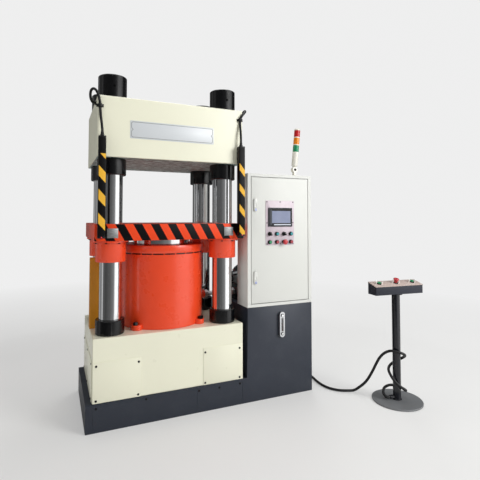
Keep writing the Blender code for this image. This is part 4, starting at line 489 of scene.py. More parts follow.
def pan_screw(bm, place, radius, height):
    """Adds a low domed screw head with a small recess."""
    lathe(bm, [(r * radius, h * height) for r, h in PAN_HEAD_SHARES], place, PAN_SIDES)


def round_outline(width, height, radius, steps=6):
    """Corner points of a rounded rectangle in XY, counter-clockwise."""
    points = []
    half_x, half_y = width / 2 - radius, height / 2 - radius
    for corner, (sx, sy) in enumerate(((1, 1), (-1, 1), (-1, -1), (1, -1))):
        for x, y in polar((radius, (corner + i / steps) / 4) for i in range(steps + 1)):
            points.append((sx * half_x + x, sy * half_y + y))
    return points


def smooth_route(points, spacing):
    """Points along a Catmull-Rom curve through a route, about one spacing apart."""
    route = [Vector(point) for point in points]
    ends = [2 * route[0] - route[1], *route, 2 * route[-1] - route[-2]]
    smooth = [route[0]]
    for i in range(1, len(ends) - 2):
        before, start, end, after = ends[i - 1:i + 3]
        bend = 2 * before - 5 * start + 4 * end - after
        twist = 3 * start - before - 3 * end + after
        count = max(1, round((end - start).length / spacing))
        for k in range(1, count + 1):
            t = k / count
            smooth.append(0.5 * (2 * start + (end - before) * t + bend * t ** 2 + twist * t ** 3))
    return smooth


def fill(shapes):
    """A new bmesh that holds the shapes, with their faces looking outwards."""
    bm = bmesh.new()
    for maker, *values in shapes:
        maker(bm, *values)
    bmesh.ops.recalc_face_normals(bm, faces=bm.faces)
    return bm


def shown(name, bm):
    """Turns a bmesh into an object of the scene."""
    mesh = bpy.data.meshes.new(name)
    bm.to_mesh(mesh)
    bm.free()
    made = bpy.data.objects.new(name, mesh)
    bpy.context.scene.collection.objects.link(made)
    return made


def piece(name, finish, shapes, body="frame", node=None, sharp=SHARP_DEG):
    """A shown piece that rides on a body and may stand for a CAD node."""
    made = shown(name, fill(shapes))
    made.data.materials.append(finish)
    made.data.shade_smooth()
    made.data.set_sharp_from_angle(angle=math.radians(sharp))
    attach(made, body)
    if node:
        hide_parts(node)
    return made


def cut(target, shapes):
    """Takes shapes out of a piece for good."""
    cutter = shown("cutter", fill(shapes))
    modifier = target.modifiers.new("cut", "BOOLEAN")
    modifier.operation = "DIFFERENCE"
    modifier.solver = "EXACT"
    modifier.use_self = True
    modifier.object = cutter
    bpy.context.view_layer.update()
    evaluated = target.evaluated_get(bpy.context.evaluated_depsgraph_get())
    cut_mesh = bpy.data.meshes.new_from_object(evaluated)
    target.modifiers.remove(modifier)
    target.data = cut_mesh
    cut_mesh.set_sharp_from_angle(angle=math.radians(SHARP_DEG))
    bpy.data.objects.remove(cutter, do_unlink=True)


def refinish(made, finish, chosen):
    """Gives a second finish to the faces of a piece that a test picks."""
    made.data.materials.append(finish)
    for face in made.data.polygons:
        if chosen(face):
            face.material_index = 1


def dress(node, finish):
    """Gives a CAD node's own object its finish."""
    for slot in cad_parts[node].material_slots:
        slot.material = finish


# Places read from the frame, the gap between pieces and the overrun of a cut
BED_LOW, BED_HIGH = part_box("bed")
CROWN_LOW, CROWN_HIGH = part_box("crown")
PLATEN_LOW, PLATEN_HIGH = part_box("platen")
CABINET_LOW, CABINET_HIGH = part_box("cabinet")
DOOR_LOW, DOOR_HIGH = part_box("door")
PANEL_LOW, PANEL_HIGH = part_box("control_panel")
GAP = 0.0003
CLEAR = 0.01
PLINTH_TOP = BED_LOW.z - GAP
TANK_LEFT, TANK_RIGHT = CABINET_LOW.x, CABINET_HIGH.x
TANK_FRONT = CABINET_LOW.y
TANK_REAR = -TANK_FRONT
TANK_TOP = CABINET_LOW.z - GAP
CABINET_BACK = TANK_FRONT + 0.178
CORNERS = ("front_left", "front_right", "rear_left", "rear_right")
PORT_HEIGHT = 0.748


def column_axis(corner):
    """Place of a column's axis on the floor plane."""
    low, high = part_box(f"column_{corner}")
    return (low.x + high.x) / 2, (low.y + high.y) / 2


# The stand's conduit: the part's own route, from the cabinet's gland to the pole's gland
CONDUIT_RADIUS, CONDUIT_RIB, CONDUIT_PITCH, CONDUIT_SPACING, CONDUIT_SIDES = 0.010, 0.0006, 0.006, 0.03, 14
CONDUIT_ROUTE = [
    (1.06, -0.1477, 0.76), (1.06, -0.11, 0.76), (1.072, -0.05, 0.754),
    (1.096, -0.012, 0.738), (1.13, 0.008, 0.708), (1.16, 0.014, 0.65),
    (1.176, 0.014, 0.56), (1.186, 0.01, 0.44), (1.196, 0.004, 0.31),
    (1.212, -0.004, 0.19), (1.236, -0.022, 0.095), (1.258, -0.058, 0.036),
    (1.266, -0.11, 0.0135), (1.262, -0.168, 0.0108), (1.246, -0.254, 0.0108),
    (1.242, -0.34, 0.0108), (1.259, -0.407, 0.0108), (1.299, -0.46, 0.0108),
    (1.35, -0.49, 0.0108), (1.405, -0.515, 0.016), (1.424, -0.555, 0.053),
    (1.442, -0.591, 0.095), (1.457, -0.619, 0.143), (1.472, -0.646, 0.203),
    (1.485, -0.668, 0.26), (1.498, -0.69, 0.308), (1.515, -0.715, 0.344),
    (1.534, -0.743, 0.366), (1.549, -0.774, 0.374), (1.594, -0.808, 0.362),
    (1.635, -0.798, 0.338), (1.653, -0.759, 0.308), (1.637, -0.716, 0.276),
    (1.596, -0.7, 0.248), (1.556, -0.716, 0.222), (1.544, -0.756, 0.184),
    (1.556, -0.789, 0.148), (1.594, -0.808, 0.112), (1.637, -0.8, 0.084),
    (1.659, -0.759, 0.078), (1.643, -0.711, 0.084), (1.601, -0.682, 0.086),
    (1.547, -0.681, 0.074), (1.517, -0.702, 0.05), (1.5173, -0.7309, 0.03),
    (1.5422, -0.738, 0.03),
]


def make_conduit():
    """Ribbed black conduit."""
    fine = smooth_route(CONDUIT_ROUTE, CONDUIT_PITCH / 2)
    radii = [CONDUIT_RADIUS - CONDUIT_RIB * (i % 2) for i in range(len(fine))]
    tube = (sweep, fine, radii, CONDUIT_SIDES)
    conduit = piece("conduit", BLACK_RUBBER, [tube], node="stand_conduit", sharp=RIB_SHARP_DEG)


# Light-curtain cables: plug, ring clip on the crown's face, and grommet in the crown's side
CABLE_RADIUS, CABLE_SPACING = 0.0085, 0.006
CABLE_PLUG = ((0.0125, 0, 0.012, 0.002), (0.010, 0.012, 0.030, 0.003))
CLIP_POINT, CLIP_RING = 5, (0.0155, -0.013, 0.013, 0.006)
CLIP_HALF, CLIP_RISE, CLIP_DEPTH, CLIP_EDGE = 0.023, 0.010, 0.0045, 0.001
CLIP_SCREW_REACH, CLIP_SCREW = 0.019, (0.0028, 0.0014)
GROMMET = (0.016, -0.0005, 0.0095, 0.003)
CABLE_ROUTES = {
    "left": [
        (-0.487, -0.3975, 1.8713), (-0.487, -0.3975, 1.905), (-0.490, -0.394, 1.945),
        (-0.495, -0.386, 1.990), (-0.498, -0.376, 2.040), (-0.500, -0.3735, 2.073),
        (-0.504, -0.379, 2.105), (-0.514, -0.379, 2.142), (-0.526, -0.370, 2.169),
        (-0.540, -0.356, 2.181), (-0.552, -0.337, 2.176), (-0.556, -0.317, 2.158),
        (-0.552, -0.296, 2.134), (-0.541, -0.276, 2.118), (-0.529, -0.266, 2.115),
        (-0.5143, -0.264, 2.115),
    ],
    "right": [
        (0.487, -0.3975, 1.8713), (0.487, -0.3975, 1.905), (0.488, -0.394, 1.945),
        (0.489, -0.386, 1.990), (0.490, -0.376, 2.040), (0.491, -0.3735, 2.073),
        (0.501, -0.378, 2.098), (0.514, -0.376, 2.115), (0.528, -0.366, 2.129),
        (0.542, -0.352, 2.143), (0.552, -0.334, 2.155), (0.556, -0.314, 2.160),
        (0.555, -0.294, 2.154), (0.549, -0.276, 2.136), (0.540, -0.265, 2.110),
        (0.529, -0.262, 2.090), (0.5143, -0.262, 2.085),
    ],
}


def make_curtain_cables():
    """Light-curtain cables, each with its plug, its ring clip and its grommet."""
    face = CROWN_LOW.y - CLIP_DEPTH
    for side, route in CABLE_ROUTES.items():
        fine = smooth_route(route, CABLE_SPACING)
        x, y, z = route[CLIP_POINT]
        spots = [at(x + reach, face, z) @ FRONT for reach in (-CLIP_SCREW_REACH, CLIP_SCREW_REACH)]
        grommet = at(*route[-1]) @ (RIGHT if side == "right" else LEFT)
        shapes = [
            (sweep, fine, [CABLE_RADIUS] * len(fine)),
            *stack(CABLE_PLUG, at(*route[0])),
            (ring, CABLE_RADIUS, *CLIP_RING, at(x, y, z), SMALL_ROUND),
            slab(x, CLIP_HALF, face, CROWN_LOW.y - GAP, z - CLIP_RISE, z + CLIP_RISE, CLIP_EDGE),
            *each(pan_screw, spots, *CLIP_SCREW),
            (ring, CABLE_RADIUS, *GROMMET, grommet, SMALL_ROUND),
        ]
        piece(f"cable_{side}", BLACK_RUBBER, shapes, node=f"curtain_cable_{side}")


# Plinth and tank: rounding, the grooves between the plinth's sheets, and its screws
BASE_EDGE = 0.0035
GROOVE_PLACES = (-0.520, 0.172, 0.520)
GROOVE_TOP, GROOVE_DEPTH, GROOVE_HALF, GROOVE_DROP = 0.165, 0.0015, 0.0012, 0.001
PLINTH_SCREW = (0.0080, 0.0035)
PLINTH_SCREWS = ((0.186, 0.150), (0.338, 0.147), (-0.183, 0.157), (-0.500, 0.150), (0.500, 0.150))


def make_base():
    """Plinth and oil tank in one welded form."""
    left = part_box("oil_tank")[0].x
    outline = [
        (left, 0), (TANK_RIGHT, 0), (TANK_RIGHT, TANK_TOP),
        (TANK_LEFT, TANK_TOP), (TANK_LEFT, PLINTH_TOP), (left, PLINTH_TOP),
    ]
    form = [(prism, outline, TANK_FRONT, TANK_REAR, FRONT, BASE_EDGE)]
    base = piece("plinth_and_tank", SLATE, form, node="oil_tank")
    front, back = TANK_FRONT - CLEAR, TANK_FRONT + GROOVE_DEPTH
    grooves = [slab(x, GROOVE_HALF, front, back, -CLEAR, GROOVE_TOP) for x in GROOVE_PLACES]
    level = (GROOVE_PLACES[0], front, GROOVE_TOP - GROOVE_DROP)
    cut(base, grooves + [(block, level, (GROOVE_PLACES[-1], back, GROOVE_TOP + GROOVE_HALF))])
    spots = []
    for x, z in PLINTH_SCREWS:
        spots += [at(x, TANK_FRONT, z) @ FRONT, at(x, TANK_REAR, z) @ REAR]
    piece("plinth_screws", BLACK_SCREW, each(pan_screw, spots, *PLINTH_SCREW))


# Tank fittings: filler on the top, hatch and drain in the right side
FILLER_PLACE = at(TANK_LEFT + 0.62 * (TANK_RIGHT - TANK_LEFT), -0.098, TANK_TOP)
FILLER_NECK = ((0.042, 0, 0.005, 0.001), (0.029, 0.004, 0.044, 0.001))
FILLER_SCREW_CIRCLE, FILLER_SCREW_RISE, FILLER_SCREW = 0.036, 0.005, (0.003, 0.002)
GRIP_RIDGE, GRIP_DIP, GRIP_POINTS, GRIP_LOW, GRIP_HIGH = 0.0448, 0.0430, 72, 0.044, 0.064
FILLER_CROWN = (0.041, 0.063, 0.070, 0.003)
HATCH_PLACE = at(TANK_RIGHT, 0, 0.360) @ RIGHT
HATCH = ((0.140, GAP, 0.012, 0.002), (0.142, -0.001, 0.003, 0.0005))
HATCH_BOLT_CIRCLE, HATCH_BOLT_RISE, HATCH_BOLT = 0.120, 0.012, (0.0165, 0.0055)
DRAIN_PLACE = at(TANK_RIGHT, 0, 0.060) @ RIGHT
DRAIN_SEAT, DRAIN_RISE, DRAIN_PLUG = (0.016, GAP, 0.006, 0.001), 0.005, (0.024, 0.014)


def make_tank_fittings():
    """Filler, cleaning hatch and drain plug of the oil tank."""
    spots = circle(FILLER_PLACE, 6, FILLER_SCREW_CIRCLE, FILLER_SCREW_RISE)
    piece("filler_neck", ZINC, stack(FILLER_NECK, FILLER_PLACE) + each(pan_screw, spots, *FILLER_SCREW))
    grip = polar((GRIP_RIDGE if i % 3 else GRIP_DIP, i / GRIP_POINTS) for i in range(GRIP_POINTS))
    filler_cap = [(prism, grip, GRIP_LOW, GRIP_HIGH, FILLER_PLACE), (disc, *FILLER_CROWN, FILLER_PLACE)]
    piece("filler_cap", BLACK_PLASTIC, filler_cap)
    piece("hatch_cover", SLATE, stack(HATCH, HATCH_PLACE, ROUND))
    bolts = each(hex_bolt, circle(HATCH_PLACE, 8, HATCH_BOLT_CIRCLE, HATCH_BOLT_RISE, 0.5), *HATCH_BOLT)
    bolts.append((disc, *DRAIN_SEAT, DRAIN_PLACE))
    bolts.append((hex_bolt, DRAIN_PLACE @ at(0, 0, DRAIN_RISE), *DRAIN_PLUG))
    piece("hatch_bolts", ZINC, bolts)


# Bed covers: rounding of their edges, their screws, and where the front ones sit
COVER_EDGE, COVER_SCREW, COVER_SCREW_INSET = 0.0012, (0.0075, 0.0032), 0.018
COVER_SCREWS = {
    "left": ((-0.502, 0.412), (-0.234, 0.407), (-0.236, 0.196), (-0.502, 0.196)),
    "right": ((0.231, 0.407), (0.497, 0.405), (0.231, 0.196), (0.497, 0.196)),
}


def make_bed():
    """Bed with its access covers."""
    dress("bed", CREAM)
    spots, rear_covers = [], []
    for side, places in COVER_SCREWS.items():
        name = f"bed_cover_front_{side}"
        low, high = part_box(name)
        piece(f"front_cover_{side}", CREAM, [(block, low, high, COVER_EDGE)], node=name)
        back = BED_HIGH.y + high.y - low.y
        rear_covers.append((block, (low.x, BED_HIGH.y, low.z), (high.x, back, high.z), COVER_EDGE))
        for x, z in places:
            spots += [at(x, low.y, z) @ FRONT, at(x, back, z) @ REAR]
    piece("rear_covers", CREAM, rear_covers)
    low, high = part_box("bed_cover_side")
    piece("side_cover", CREAM, [(block, low, high, COVER_EDGE)], node="bed_cover_side")
    inset = COVER_SCREW_INSET
    for y in (low.y + inset, 0, high.y - inset):
        spots += [at(low.x, y, z) @ LEFT for z in (low.z + inset, high.z - inset)]
    piece("bed_cover_screws", BLACK_SCREW, each(pan_screw, spots, *COVER_SCREW))


# Name plate on the crown, and the line etched round it with its cut corners and side notches
PLATE_LEFT, PLATE_RIGHT, PLATE_BOTTOM, PLATE_TOP = -0.307, 0.285, 1.877, 1.996
PLATE_THICKNESS, PLATE_EDGE = 0.0015, 0.0004
BORDER_INSET, BORDER_HALF, BORDER_CORNER, BORDER_NOTCH = 0.0085, 0.0016, 0.008, 0.011
BORDER_PROUD, BORDER_SUNK = 0.0003, 0.0002
RIVET_INSET, RIVET = 0.010, (0.0028, 0.0012)


def make_crown():
    """Crown with its bare name plate."""
    dress("crown", CROWN_CREAM)
    face = CROWN_LOW.y
    plate_face = face - PLATE_THICKNESS
    corners = (PLATE_LEFT, plate_face, PLATE_BOTTOM), (PLATE_RIGHT, face, PLATE_TOP)
    piece("name_plate", PLATE, [(block, *corners, PLATE_EDGE)])
    left, right = PLATE_LEFT + BORDER_INSET, PLATE_RIGHT - BORDER_INSET
    low, high = PLATE_BOTTOM + BORDER_INSET, PLATE_TOP - BORDER_INSET
    middle = (low + high) / 2
    front, back = plate_face - BORDER_PROUD, plate_face + BORDER_SUNK
    lines = []

    def slanted(x, z, sign, half):
        """A short line at 45 degrees."""
        place = at(x, 0, z) @ turned(45 * sign, "Y")
        lines.append((block, (-half, front, -BORDER_HALF), (half, back, BORDER_HALF), 0, 2, place))

    for z in (low, high):
        first, last = left + BORDER_CORNER, right - BORDER_CORNER
        lines.append((block, (first, front, z - BORDER_HALF), (last, back, z + BORDER_HALF)))
    straights = ((low + BORDER_CORNER, middle - BORDER_NOTCH), (middle + BORDER_NOTCH, high - BORDER_CORNER))
    for x, inward in ((left, 1), (right, -1)):
        lines += [slab(x, BORDER_HALF, front, back, first, last) for first, last in straights]
        corner_x, notch_x = x + inward * BORDER_CORNER / 2, x + inward * BORDER_NOTCH / 2
        for z, sign in ((low, 1), (high, -1)):
            half = BORDER_CORNER * math.sqrt(0.5) + BORDER_HALF
            slanted(corner_x, z + sign * BORDER_CORNER / 2, inward * sign, half)
        for sign in (-1, 1):
            slanted(notch_x, middle + sign * BORDER_NOTCH / 2, inward * sign, BORDER_NOTCH * math.sqrt(0.5))
    piece("name_plate_border", BORDER_GREY, lines)
    ends = PLATE_LEFT + RIVET_INSET, PLATE_RIGHT - RIVET_INSET
    rivets = [at(x, plate_face, middle) @ FRONT for x in ends]
    piece("name_plate_rivets", ZINC, each(pan_screw, rivets, *RIVET))


# Columns: thread, broken edges of nuts and collars, tommy holes and the collars' slit
THREAD_DEPTH, THREAD_END = 0.0015, 0.003
CENTRE_HOLE = 0.006
NUT_EDGE = 0.004
TOMMY_HOLE = (0.008, -0.016, 0.01, 0.0005)
SLIT_HALF = 0.002


def make_columns():
    """Chromed columns, their nuts and their clamping collars."""
    for corner in CORNERS:
        x, y = column_axis(corner)
        place = at(x, y)
        low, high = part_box(f"column_{corner}")
        radius = (high.x - low.x) / 2
        thread = radius - THREAD_DEPTH
        profile = [
            (0, high.z - CENTRE_HOLE), (CENTRE_HOLE, high.z), (thread - THREAD_END, high.z),
            (thread, high.z - THREAD_END), (thread, CROWN_HIGH.z), (thread, CROWN_LOW.z),
            (radius, CROWN_LOW.z), (radius, low.z), (0, low.z),
        ]
        piece(f"chromed_column_{corner}", CHROME, [(lathe, profile, place)], node=f"column_{corner}")
        made = {}
        for kind, name, inner in (
            ("top_nut", "nut", thread), ("upper_collar", "collar_upper", radius),
            ("lower_collar", "collar_lower", radius),
        ):
            node = f"{kind}_{corner}"
            low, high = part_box(node)
            outer = (high.x - low.x) / 2
            shape = (ring, inner + GAP, outer, low.z, high.z, NUT_EDGE, place)
            made[kind] = piece(f"{name}_{corner}", BLACK_STEEL, [shape], node=node)
        sign = 1 if y > 0 else -1
        near, far = sorted((y + sign * (radius - CLEAR), y + sign * (outer + CLEAR)))
        cut(made["lower_collar"], [slab(x, SLIT_HALF, near, far, low.z - CLEAR, high.z + CLEAR)])
        low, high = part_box(f"top_nut_{corner}")
        middle = at(x, y, (low.z + high.z) / 2)
        holes = [(disc, *TOMMY_HOLE, middle @ turn @ at(0, -outer) @ FRONT) for turn in turns(4)]
        cut(made["top_nut"], holes)


# Main cylinder: barrel, groove, port, black ring of painted shade in the groove, keys and lugs
BARREL_RADIUS, BARREL_BORE, BARREL_DEPTH = 0.312, 0.222, 0.442
GROOVE_SINK, GROOVE_WIDTH, GROOVE_LIP, BARREL_EDGE = 0.005, 0.009, 0.001, 0.004
PORT = (0.034, 0, 0.056, 0.003)
# Black ring in the groove under the gland: painted shade, standing in for the groove's shadow
GROOVE_SHADE_SINK, GROOVE_SHADE_PROUD, GROOVE_SHADE_LOW, GROOVE_SHADE_HIGH, GROOVE_SHADE_EDGE = 0.0015, 0.0011, 0.0088, 0.0002, 0.0004
KEY_COUNT, KEY_TURN, KEY_HALF, KEY_INSET = 24, 0.3, 0.004, 0.0012
KEY_LOW, KEY_HIGH, KEY_EDGE = 0.0092, 0.0004, 0.0006
SINK = 0.02
LUG_HALF, LUG_REACH, LUG_HEIGHT, LUG_ROUND, LUG_EDGE = 0.039, 0.045, 0.034, 0.0355, 0.0025
LUG_BOLT = (0.030, 0.018)

# Gland and ram: bores, edges, screws and the wiper's lip
GLAND_BORE, WIPER_BORE, WIPER_SEAT = 0.2108, 0.2150, 0.004
GLAND_EDGES = (0.005, 0.0015, 0.004, 0.003)
GLAND_SCREW_CIRCLE, GLAND_SCREW_DROP, GLAND_SCREW = 0.264, -0.0175, (0.0135, 0.015)
GLAND_HOLE = (0.0155, -0.018, 0.01, 0.0005)
WIPER_INNER, WIPER_OUTER, WIPER_DROP, WIPER_RISE, WIPER_EDGE = 0.0005, 0.0002, 0.0038, 0.002, 0.001
RAM_EDGE = 0.004


def make_barrel(top, bottom):
    """Cylinder barrel with its port, the black ring of painted shade in its groove, and its lugs."""
    radius, floor = BARREL_RADIUS, top - BARREL_DEPTH
    neck, step = radius - GROOVE_SINK, top - GROOVE_WIDTH
    profile = [
        (BARREL_BORE, floor), (BARREL_BORE, top), (neck, top), (neck, step),
        (radius - GROOVE_LIP, step), (radius, step - GROOVE_LIP), (radius, bottom + BARREL_EDGE),
        (radius - BARREL_EDGE, bottom), (0, bottom), (0, floor), (BARREL_BORE, floor),
    ]
    port = at(radius - SINK, 0, PORT_HEIGHT) @ RIGHT
    barrel = [(lathe, profile, HERE, FINEST), (disc, *PORT, port, MEDIUM)]
    piece("barrel", ORANGE, barrel, node="cylinder_barrel")
    # Black ring sunk in the groove: painted shade, standing in for the shadow between barrel and gland
    radii, heights = (neck - GROOVE_SHADE_SINK, neck + GROOVE_SHADE_PROUD), (top - GROOVE_SHADE_LOW, top - GROOVE_SHADE_HIGH)
    piece("groove_painted_shade", BLACK_RUBBER, [(ring, *radii, *heights, GROOVE_SHADE_EDGE, HERE, FINEST)])
    key = (neck, -KEY_HALF, top - KEY_LOW), (radius - KEY_INSET, KEY_HALF, top + KEY_HIGH), KEY_EDGE, 1
    piece("gland_keys", ORANGE, [(block, *key, turn) for turn in turns(KEY_COUNT, KEY_TURN)])
    outline = [(radius - SINK, -LUG_HALF)]
    for sign, start in ((-1, -1), (1, 0)):
        for x, y in polar((LUG_ROUND, (start + i / 8) / 4) for i in range(9)):
            outline.append((radius + LUG_REACH - LUG_ROUND + x, sign * (LUG_HALF - LUG_ROUND) + y))
    outline.append((radius - SINK, LUG_HALF))
    lug_top = bottom + LUG_HEIGHT
    lugs = [(prism, outline, bottom, lug_top, turn, LUG_EDGE) for turn in turns(4, 0.5)]
    piece("barrel_lugs", ORANGE, lugs)
    spots = circle(HERE, 4, radius + LUG_REACH / 2, lug_top, 0.5)
    piece("lug_bolts", BLACK_STEEL, each(hex_bolt, spots, *LUG_BOLT))


def make_cylinder():
    """The barrel, the gland with its screws and its wiper, and the ram."""
    low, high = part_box("cylinder_gland")
    make_barrel(low.z - GAP, BED_HIGH.z + GAP)
    outer, seat = (high.x - low.x) / 2, high.z - WIPER_SEAT
    wide, fine, foot, heel = GLAND_EDGES
    profile = [
        (GLAND_BORE, low.z), (GLAND_BORE, seat), (WIPER_BORE, seat), (WIPER_BORE, high.z),
        (outer - wide, high.z), (outer - fine, high.z - fine), (outer, high.z - wide),
        (outer, low.z + foot), (outer - heel, low.z), (GLAND_BORE, low.z),
    ]
    gland = piece("gland", ORANGE, [(lathe, profile, HERE, FINEST)], node="cylinder_gland")
    spots = circle(HERE, 16, GLAND_SCREW_CIRCLE, high.z)
    cut(gland, [(disc, *GLAND_HOLE, spot, COARSE) for spot in spots])
    sunk = [spot @ at(0, 0, GLAND_SCREW_DROP) for spot in spots]
    piece("gland_screws", BLACK_STEEL, each(socket_screw, sunk, *GLAND_SCREW))
    radii = GLAND_BORE - WIPER_INNER, WIPER_BORE - WIPER_OUTER
    heights = high.z - WIPER_DROP, high.z + WIPER_RISE
    piece("wiper_seal", BLACK_RUBBER, [(ring, *radii, *heights, WIPER_EDGE, HERE, FINEST)])
    low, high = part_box("ram")
    ram = (disc, (high.x - low.x) / 2, low.z, high.z, RAM_EDGE, HERE, FINEST)
    piece("chromed_ram", CHROME, [ram], "moving_platen", "ram")


# Moving platen: plate, guide sleeves with their flanges, and the two target plates at its front
PLATE_DEPTH, PLATE_HALF, PLATE_ROUND, FACE_REACH = 0.111, 0.362, 0.004, 0.002
SLEEVE_BORE, SLEEVE_SEAT, SLEEVE_RADIUS, FLANGE_RADIUS = 0.0748, 0.0760, 0.100, 0.119
FLANGE_THICKNESS, FLANGE_EDGE, SLEEVE_LIP, SLEEVE_NECK = 0.012, 0.001, 0.004, 0.002
SLEEVE_FOOT = (0.003, 0.002)
SLEEVE_BOLT_CIRCLE, SLEEVE_BOLT = 0.1095, (0.0125, 0.0065, 0.001)
TARGET_SIZE, TARGET_EDGE = (0.070, 0.062), 0.0005
TARGET_PLACES = ((-0.447, 1.220), (0.369, 1.224))
COLUMN_WIPER_RADII, COLUMN_WIPER_DROP, COLUMN_WIPER_EDGE = (0.0742, 0.090), 0.001, 0.0003


def make_platen():
    """Moving platen with its guide sleeves, warning stripes and target plates."""
    body = "moving_platen"
    top, low = PLATEN_HIGH.z, PLATEN_LOW.z
    bottom = top - PLATE_DEPTH
    places = [at(*column_axis(corner)) for corner in CORNERS]
    corners = (PLATEN_LOW.x, -PLATE_HALF, bottom), (PLATEN_HIGH.x, PLATE_HALF, top)
    platen = piece("platen_plate", ORANGE, [(block, *corners, PLATE_ROUND)], body, "platen")
    hole = SLEEVE_SEAT, bottom - 2 * CLEAR, top + 2 * CLEAR, FLANGE_EDGE
    cut(platen, [(disc, *hole, place, ROUND) for place in places])
    front = FACE_REACH - PLATE_HALF
    refinish(platen, PLATEN_STRIPES, lambda face: face.normal.y < -0.9 and face.center.y < front)
    flange, edge = bottom - FLANGE_THICKNESS, FLANGE_EDGE
    rise, heel = SLEEVE_FOOT
    profile = [
        (SLEEVE_BORE, low), (SLEEVE_BORE, top - SLEEVE_LIP), (SLEEVE_SEAT, top - SLEEVE_LIP),
        (SLEEVE_SEAT, bottom), (FLANGE_RADIUS - edge, bottom), (FLANGE_RADIUS, bottom - edge),
        (FLANGE_RADIUS, flange + edge), (FLANGE_RADIUS - edge, flange), (SLEEVE_RADIUS + edge, flange),
        (SLEEVE_RADIUS, flange - SLEEVE_NECK), (SLEEVE_RADIUS, low + rise), (SLEEVE_RADIUS - heel, low),
        (SLEEVE_BORE, low),
    ]
    piece("guide_sleeves", ORANGE, [(lathe, profile, place) for place in places], body)
    spots = []
    for place in places:
        spots += [spot @ DOWN for spot in circle(place, 8, SLEEVE_BOLT_CIRCLE, flange, 0.5)]
    piece("sleeve_bolts", BLACK_SCREW, each(hex_bolt, spots, *SLEEVE_BOLT), body)
    wide, tall = TARGET_SIZE
    targets = [
        (block, (left, PLATEN_LOW.y, z), (left + wide, -PLATE_HALF, z + tall), TARGET_EDGE)
        for left, z in TARGET_PLACES
    ]
    piece("target_plates", BRUSHED, targets, body)
    wiper = *COLUMN_WIPER_RADII, top - COLUMN_WIPER_DROP, top + GAP, COLUMN_WIPER_EDGE
    piece("column_wipers", BLACK_RUBBER, [(ring, *wiper, place) for place in places], body)


# Light-curtain posts: place, section, end caps, window, lamp, and the bracket's heights
POST_X, POST_HALF, POST_SIDE, POST_CAP, POST_EDGE, POST_FACE_REACH = 0.487, 0.0225, 0.045, 0.014, 0.003, 0.001
WINDOW_FRONT, WINDOW_BACK, WINDOW_DEPTH, WINDOW_GAP = 0.0115, 0.0335, 0.002, 0.0005
GLASS_DEPTHS = (0.0003, 0.0016)
CURTAIN_LAMP, CURTAIN_LAMP_PROUD = (0.0032, -0.001, 0.0008, 0.0003), 0.0002
BRACKET_HALF, BRACKET_BOTTOM, BRACKET_TOP, BRACKET_EDGE = 0.020, 1.777, 1.837, 0.002


def make_light_curtains():
    """Light-curtain posts on their brackets, with their windows, caps and lamps."""
    for side, sign in (("left", -1), ("right", 1)):
        node = f"light_curtain_{side}"
        low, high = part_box(node)
        x, front = sign * POST_X, low.y
        back = front + POST_SIDE
        box = [slab(x, POST_HALF, front, back, low.z, high.z, POST_EDGE, 3)]
        post = piece(f"curtain_post_{side}", POST_BLACK, box, node=node)
        inner = x - sign * POST_HALF
        first, last = front + WINDOW_FRONT, front + WINDOW_BACK
        bottom, top = low.z + POST_CAP, high.z - POST_CAP
        cut(post, [slab(inner, WINDOW_DEPTH, first, last, bottom, top)])
        limit = front + POST_FACE_REACH
        refinish(post, POST_STRIPES[side], lambda face: face.normal.y < -0.95 and face.center.y < limit)
        near, far = sorted(inner + sign * depth for depth in GLASS_DEPTHS)
        gap = WINDOW_GAP
        corners = (near, first + gap, bottom + gap), (far, last - gap, top - gap)
        piece(f"curtain_window_{side}", RED_GLASS, [(block, *corners)])
        caps = []
        for z in (low.z, top):
            caps.append(slab(x, POST_HALF + GAP, front - GAP, back + GAP, z, z + POST_CAP, POST_EDGE))
        piece(f"curtain_caps_{side}", BLACK_PLASTIC, caps)
        lamp = at(x, front - CURTAIN_LAMP_PROUD, low.z + POST_CAP / 2) @ FRONT
        piece(f"curtain_lamp_{side}", LED_RED, [(disc, *CURTAIN_LAMP, lamp)])
        depths = back, CROWN_LOW.y - GAP
        bracket = slab(x, BRACKET_HALF, *depths, BRACKET_BOTTOM, BRACKET_TOP, BRACKET_EDGE)
        piece(f"curtain_bracket_{side}", BLACK_STEEL, [bracket])


# Oil gauge: middle, how far it stands out, its body and opening, its tube, bolts and washers
GAUGE_X, GAUGE_Z, GAUGE_DEPTH = 0.843, 0.544, 0.024
GAUGE_BODY, GAUGE_EDGE = (0.042, 0.190, 0.020, 10), 0.0025
GAUGE_OPENING, GAUGE_OPENING_DEPTH = (0.018, 0.100, 0.004, 4), 0.014
TUBE_SINK, TUBE_RADIUS, TUBE_WALL, TUBE_HALF, TUBE_EDGE = 0.008, 0.0074, 0.001, 0.0498, 0.0002
FLUID = (0.0072, -0.0495, 0.012, 0.0005)
GAUGE_BOLT_REACH = 0.068
GAUGE_BOLT, GAUGE_WASHER = (0.0095, 0.001, 0.0058, 0.0012), (0.0090, 0.0130, -0.001, 0.0018, 0.0005)


